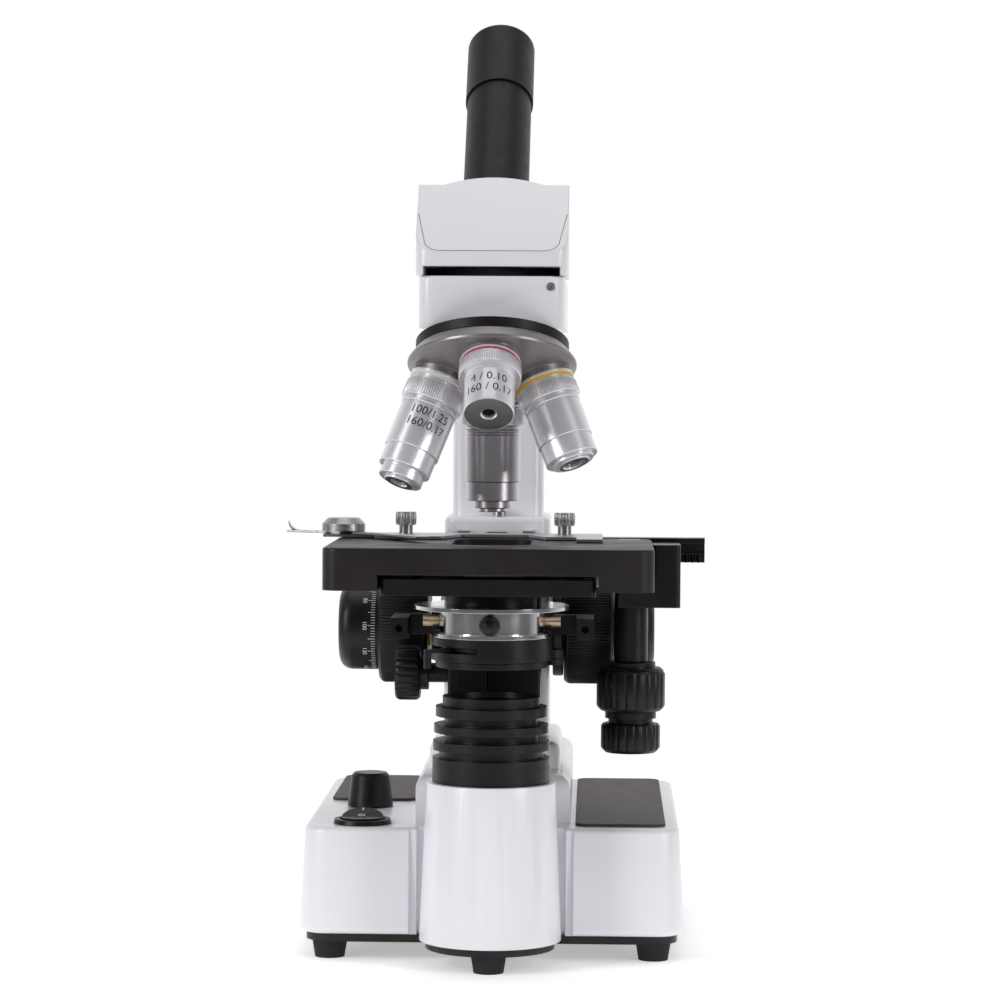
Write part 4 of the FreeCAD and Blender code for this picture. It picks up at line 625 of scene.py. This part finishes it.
def add_objective_rings(node, facts, place):
    """The coloured ring in its groove, and the knurling below it."""
    top_step, groove, knurled = facts["steps"][:3]
    groove_top = -top_step[0]
    width = min(RING_WIDTH, groove[0])
    band = square_section(RING_INNER, RING_OUTER, groove_top, groove_top - width)
    add_turned(node + "_ring", band, place, facts["ring"])
    top = SHOULDER + (groove_top - groove[0] - KNURL_MARGIN) * MM
    bottom = top - (knurled[0] - 2 * KNURL_MARGIN) * MM
    mesh = ribbed_mesh(node + "_knurl", place, knurled[1] * MM, bottom, top,
                       KNURL_COUNT, KNURL_PROUD * MM, fill=0.7)
    add_piece(node + "_knurl", mesh, knurled_chrome, "turret")


def add_objective_words(node, facts, place):
    """Two lines of plain numbers on the side of the barrel that looks to the front."""
    size = facts["size"] * MM
    radius = (facts["text_radius"] + WORDS_PROUD) * MM
    angle = facing(place) + math.radians(facts["text_turn"])
    first = SHOULDER - facts["text_at"] * MM
    lines = []
    for row, words in enumerate(facts["words"]):
        lay = on_barrel(place, radius, angle, first - row * size * LINE_SPACING)
        lines.append(letters_mesh(node + "_line", words, size, lay))
    mesh = joined_mesh(node + "_numbers", lines)
    add_piece(node + "_numbers", mesh, ink_black, "turret")


# Knobs

# The stage's two hanging knobs: node, body, radius, and height of the ribs' top end above the knob's foot.
HANGING_KNOBS = (
    ("y_knob", "y_drive", 13.4 * MM, 16.0 * MM),
    ("x_knob", "x_drive", 11.5 * MM, 11.6 * MM),
)
COARSE_KNOB_RADIUS = 23 * MM
COARSE_KNOB_INNER = 30.0 * MM
COARSE_KNOB_OUTER = 47.5 * MM
THUMBSCREW_RADIUS = 4.05 * MM


def make_hanging_knob_ribs():
    drive = middle("y_knob")
    place = Matrix.Translation((drive.x, drive.y, 0))
    for node, body, radius, ribs_top in HANGING_KNOBS:
        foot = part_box(node)[0].z
        mesh = ribbed_mesh(node + "_ribs", place, radius, foot + 1.2 * MM, foot + ribs_top, 20,
                           0.6 * MM, fill=0.93, flatness=8)
        add_piece(node + "_ribs", mesh, black_moulding, body)


def make_hanging_knob_neck():
    """The lower knob's collar, just under the upper knob."""
    drive = middle("y_knob")
    place = Matrix.Translation((drive.x, drive.y, 0))
    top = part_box("y_knob")[0].z - 0.3 * MM
    neck = square_section(5.2 * MM, 10.4 * MM, top, top - 2.8 * MM)
    mesh = turned_mesh("x_knob_neck", neck, place)
    add_piece("x_knob_neck", mesh, black_moulding, "x_drive")


def make_condenser_knob_ribs():
    low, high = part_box("condenser_knob")
    place = along((0, (low.y + high.y) / 2, (low.z + high.z) / 2), (1, 0, 0))
    mesh = ribbed_mesh("condenser_knob_ribs", place, 10.75 * MM, low.x + 0.6 * MM, low.x + 9.5 * MM, 22,
                       0.6 * MM, fill=0.88, flatness=6)
    add_piece("condenser_knob_ribs", mesh, black_moulding, "condenser_drive")


def make_coarse_knob_ribs():
    axle = along((0, FOCUS_AXLE.y, FOCUS_AXLE.z), (1, 0, 0))
    sides = (
        ("left", -COARSE_KNOB_OUTER, -COARSE_KNOB_INNER),
        ("right", COARSE_KNOB_INNER, COARSE_KNOB_OUTER),
    )
    for side, start, end in sides:
        name = "coarse_knob_ribs_" + side
        mesh = ribbed_mesh(name, axle, COARSE_KNOB_RADIUS, start, end, 110, 0.3 * MM, fill=0.75)
        add_piece(name, mesh, black_moulding, "coarse_focus")


def make_thumbscrew_ribs():
    low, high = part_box("holder_screws")
    bottom = high.z - 5.0 * MM
    top = high.z - 0.3 * MM
    for side, x in (("left", low.x + THUMBSCREW_RADIUS), ("right", high.x - THUMBSCREW_RADIUS)):
        name = "holder_screw_knurl_" + side
        place = Matrix.Translation((x, (low.y + high.y) / 2, 0))
        mesh = ribbed_mesh(name, place, THUMBSCREW_RADIUS, bottom, top, 22, 0.28 * MM, fill=0.7)
        add_piece(name, mesh, dark_steel, "cross_slide")


# Scales and marks

# The left fine knob's scale. It is turned round the knob by a number of its divisions.
FINE_DIVISIONS = 200
FINE_SCALE_TURN = 47
FINE_SCALE_RADIUS = 17.9 * MM + 0.03 * MM
FINE_SCALE_INNER = -50.4 * MM
FINE_NUMBER_SIZE = 2.5 * MM
FINE_NUMBER_AT = 5.1 * MM


def fine_scale_angle(mark):
    return math.tau * (mark + FINE_SCALE_TURN) / FINE_DIVISIONS


def make_fine_scale():
    """The left fine knob's white scale: 200 divisions, marked every 2 and numbered every 20."""
    axle = along((0, FOCUS_AXLE.y, FOCUS_AXLE.z), (1, 0, 0))
    form = bmesh.new()
    for mark in range(0, FINE_DIVISIONS, 2):
        length = (2.9 if mark % 10 == 0 else 1.7) * MM
        reach = Matrix.Translation((FINE_SCALE_RADIUS, 0, FINE_SCALE_INNER - length / 2))
        spot = Matrix.Rotation(fine_scale_angle(mark), 4, "Z") @ reach
        add_bar(form, axle @ spot, (0.06 * MM, 0.2 * MM, length))
    ticks = closed_mesh("fine_scale_ticks", form)
    numbers = [fine_number(axle, mark) for mark in range(0, FINE_DIVISIONS, 20)]
    mesh = joined_mesh("fine_scale", [ticks] + numbers)
    add_piece("fine_scale", mesh, paint_white, "fine_focus")


def fine_number(axle, mark):
    """A number that reads round the knob, its top towards its mark."""
    lay = on_barrel(axle, FINE_SCALE_RADIUS, fine_scale_angle(mark), FINE_SCALE_INNER - FINE_NUMBER_AT)
    return letters_mesh(f"fine_number_{mark}", str(mark), FINE_NUMBER_SIZE, lay)


def make_bar_scale():
    """The cross slide's scale: a white line each millimetre on its front top edge, longer each fifth."""
    low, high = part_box("x_slide_bar")
    form = bmesh.new()
    for step in range(22):
        length = (3.4 if step % 5 == 0 else 2.0) * MM
        spot = Matrix.Translation((high.x - (1.2 + step) * MM, low.y + 0.4 * MM + length / 2, high.z))
        add_bar(form, spot, (0.18 * MM, length, 0.05 * MM))
    add_piece("bar_scale", closed_mesh("bar_scale", form), paint_white, "cross_slide")


def make_stage_scale():
    """The small vernier plate let into the stage's right rear corner."""
    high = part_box("stage_top_plate")[1]
    inset = 9 * MM
    centre = Vector((high.x - inset, high.y - inset, high.z))
    form = bmesh.new()
    add_bar(form, Matrix.Translation(centre), (9 * MM, 4 * MM, 0.1 * MM))
    plate = closed_mesh("stage_scale_plate", form)
    add_piece("stage_scale_plate", plate, brushed_plate, "stage")
    form = bmesh.new()
    pitch = 0.75
    for step in range(-5, 6):
        spot = Matrix.Translation(centre + Vector((step * pitch * MM, 0.9 * MM, 0.06 * MM)))
        add_bar(form, spot, (0.12 * MM, 1.6 * MM, 0.04 * MM))
    lines = closed_mesh("stage_scale_lines", form)
    add_piece("stage_scale_lines", lines, ink_black, "stage")


def make_head_panel_line():
    """The fine joint line round the head's sloping front panel, wider at the top than at the bottom."""
    crease = Vector((0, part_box("head_shell")[0].y, 284.7 * MM))
    up = Vector((0, 1, 1)).normalized()
    height = 21 * MM
    corner = 6 * MM
    top_side = 29.2 * MM
    side = 26.5 * MM
    corner_steps = 8
    outline = [(-top_side, height), (-side, corner)]
    for step in range(1, corner_steps + 1):
        angle = math.pi / 2 * step / corner_steps
        outline.append((corner * (1 - math.cos(angle)) - side, corner * (1 - math.sin(angle))))
    outline += [(-x, rise) for x, rise in reversed(outline)]
    curve = bpy.data.curves.new("head_panel_line", "CURVE")
    curve.dimensions = "3D"
    curve.bevel_depth = 0.14 * MM
    line = curve.splines.new("POLY")
    line.points.add(len(outline) - 1)
    for point, (x, rise) in zip(line.points, outline):
        point.co = (*(crease + up * rise + Vector((x, 0, 0))), 1)
    curve.materials.append(finish(joint_shadow))
    thing = bpy.data.objects.new("head_panel_line", curve)
    bpy.context.scene.collection.objects.link(thing)
    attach(thing, "head")


def make_rocker_marks():
    """A bar on the raised end of the rocker and a ring on the pressed one."""
    centre = middle("power_rocker")
    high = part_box("power_rocker")[1]
    tilt = math.radians(9)
    from_middle = 4.2 * MM
    thick = 0.1 * MM
    face = Matrix.Translation((centre.x, centre.y, high.z - 1.15 * MM)) @ Matrix.Rotation(tilt, 4, "X")
    form = bmesh.new()
    add_bar(form, face @ Matrix.Translation((0, from_middle, 0.35 * MM)), (0.6 * MM, 3.0 * MM, thick))
    bar = closed_mesh("rocker_bar", form)
    ring_place = face @ Matrix.Translation((0, -from_middle, 0.3 * MM))
    ring = turned_mesh("rocker_ring", square_section(1.0 * MM, 1.5 * MM, 0, thick), ring_place, steps=40)
    mesh = joined_mesh("rocker_marks", [bar, ring])
    add_piece("rocker_marks", mesh, paint_white, "rocker")


# Shells, ball and curl

# The white shells whose edges are really rounded: node, body, slot and width of the rounding.
SOFT_SHELLS = (
    ("base_housing", "stand", "white_plastic", 1.6 * MM),
    ("arm_casting", "stand", "white_casting", 0.8 * MM),
    ("head_shell", "head", "white_plastic", 0.9 * MM),
)


def make_softened_shells():
    """The white mouldings and the arm with their edges really rounded."""
    for node, body, slot, width in SOFT_SHELLS:
        form = bmesh.new()
        form.from_mesh(NODES[node].data)
        bmesh.ops.remove_doubles(form, verts=form.verts, dist=0.004 * MM)
        bmesh.ops.dissolve_limit(form, angle_limit=math.radians(0.5), verts=form.verts, edges=form.edges)
        mesh = closed_mesh(node + "_soft", form)
        mesh.shade_smooth()
        thing = add_piece(node + "_soft", mesh, white_enamel, body)
        bevel = thing.modifiers.new("edges", "BEVEL")
        bevel.width = width
        bevel.segments = 4
        bevel.limit_method = "ANGLE"
        bevel.angle_limit = math.radians(40)
        bevel.use_clamp_overlap = True
        bevel.harden_normals = True
        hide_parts(node)


def make_clamp_ball():
    """The black knurled ball that clamps the condenser."""
    low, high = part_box("condenser_screws")
    radius = (high.z - low.z) / 2
    place = along((0, low.y + radius, (low.z + high.z) / 2), (0, 1, 0))
    knurls = 24
    knurl_height = 0.022
    form = bmesh.new()
    bmesh.ops.create_uvsphere(form, u_segments=96, v_segments=24, radius=radius)
    for point in form.verts:
        angle = math.atan2(point.co.y, point.co.x)
        flank = 1 - (point.co.z / radius) ** 2
        point.co *= 1.02 + knurl_height * flank * math.cos(knurls * angle)
        point.co = place @ point.co
    mesh = closed_mesh("clamp_ball", form)
    mesh.shade_smooth()
    add_piece("clamp_ball", mesh, black_moulding, "condenser")


def make_finger_curl():
    """The finger's tail, curled up to be pressed."""
    low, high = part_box("slide_finger")
    width = 6 * MM
    thick = 0.8 * MM
    bend = 4.6 * MM
    sweep = math.radians(80)
    steps = 8
    section = ((0, 0), (width, 0), (width, thick), (0, thick))
    form = bmesh.new()
    rows = []
    for step in range(steps + 1):
        angle = sweep * step / steps
        reach = low.x + 5.2 * MM - bend * math.sin(angle)
        rise = low.z + bend * (1 - math.cos(angle))
        row = [form.verts.new((reach, high.y - width + across, rise + lift)) for across, lift in section]
        rows.append(row)
    for before, after in zip(rows, rows[1:]):
        for corner in range(len(section)):
            following = (corner + 1) % len(section)
            form.faces.new((before[corner], before[following], after[following], after[corner]))
    form.faces.new(rows[0])
    form.faces.new(rows[-1][::-1])
    add_piece("finger_curl", closed_mesh("finger_curl", form), brushed_plate, "finger")


def dress_details():
    make_objectives()
    make_softened_shells()
    make_clamp_ball()
    make_finger_curl()
    make_hanging_knob_ribs()
    make_hanging_knob_neck()
    make_condenser_knob_ribs()
    make_coarse_knob_ribs()
    make_thumbscrew_ribs()
    make_fine_scale()
    make_bar_scale()
    make_stage_scale()
    make_head_panel_line()
    make_rocker_marks()


# Setting


def make_floor():
    """A round table top of white paper that glows a little, as a light table does."""
    paper = Surface("floor_paper", (0.93, 0.93, 0.93), 0.9).vary_color(200, 0.005)
    paper.shader.inputs["Emission Color"].default_value = (1, 1, 1, 1)
    paper.shader.inputs["Emission Strength"].default_value = 0.42
    radius = 0.62
    steps = 96
    rim = []
    for step in range(steps):
        angle = math.tau * step / steps
        rim.append((radius * math.cos(angle), radius * math.sin(angle), 0))
    mesh = bpy.data.meshes.new("floor")
    mesh.from_pydata(rim, [], [tuple(range(steps))])
    mesh.materials.append(paper.material)
    floor = bpy.data.objects.new("floor", mesh)
    bpy.context.scene.collection.objects.link(floor)


def softbox(name, place, target, width, height, power):
    """A flat lamp that faces a target. Sizes in metres, power in watts."""
    lamp = bpy.data.lights.new(name, "AREA")
    lamp.shape = "RECTANGLE"
    lamp.size = width
    lamp.size_y = height
    lamp.energy = power
    thing = bpy.data.objects.new(name, lamp)
    thing.location = place
    thing.rotation_euler = (Vector(target) - Vector(place)).to_track_quat("-Z", "Y").to_euler()
    bpy.context.scene.collection.objects.link(thing)


def make_lights():
    target = (0, 0, 0.19)
    softbox("key_light", (-1.5, -1.1, 0.9), target, width=0.5, height=1.3, power=19)
    softbox("fill_light", (1.5, -1.1, 0.8), target, width=0.5, height=1.3, power=14)
    softbox("top_light", (0, 0.2, 1.7), target, width=1.2, height=1.2, power=5)
    bpy.context.scene.world = make_studio()


def make_studio():
    """A dim room in front of the object and a white one behind it."""
    world = bpy.data.worlds.new("studio")
    world.use_nodes = True
    nodes = world.node_tree.nodes
    links = world.node_tree.links
    direction = nodes.new("ShaderNodeTexCoord").outputs["Generated"]
    parts = nodes.new("ShaderNodeSeparateXYZ")
    depth = nodes.new("ShaderNodeMapRange")
    depth.inputs["From Min"].default_value = 0.0
    depth.inputs["From Max"].default_value = 0.9
    depth.inputs["To Min"].default_value = 0.14
    depth.inputs["To Max"].default_value = 1.0
    links.new(direction, parts.inputs["Vector"])
    links.new(parts.outputs["Y"], depth.inputs["Value"])
    background = nodes["Background"]
    background.inputs["Color"].default_value = (1, 1, 1, 1)
    links.new(depth.outputs["Result"], background.inputs["Strength"])
    return world


# The camera's place in metres, to the right of the light path, in front of it and above the table, and its
# angles in degrees.
CAMERA_RIGHT = 0.0416
CAMERA_DISTANCE = 1.316
CAMERA_HEIGHT = 0.234
CAMERA_DOWN = 2.06
CAMERA_ROLL = -0.35
CAMERA_LEFT = 1.695


def make_camera():
    """A long lens well in front, a little above the stage and to the right, aimed slightly down and left."""
    lens = bpy.data.cameras.new("camera")
    lens.sensor_width = 36
    lens.lens = 118.8
    lens.clip_start = 0.01
    camera = bpy.data.objects.new("camera", lens)
    camera.location = (CAMERA_RIGHT, AXIS_Y - CAMERA_DISTANCE, CAMERA_HEIGHT)
    camera.rotation_euler = [math.radians(angle) for angle in (90 - CAMERA_DOWN, CAMERA_ROLL, CAMERA_LEFT)]
    bpy.context.scene.collection.objects.link(camera)
    bpy.context.scene.camera = camera


dress_cad_nodes()
dress_details()
make_floor()
make_lights()
make_camera()
bpy.context.scene.view_settings.view_transform = "Standard"
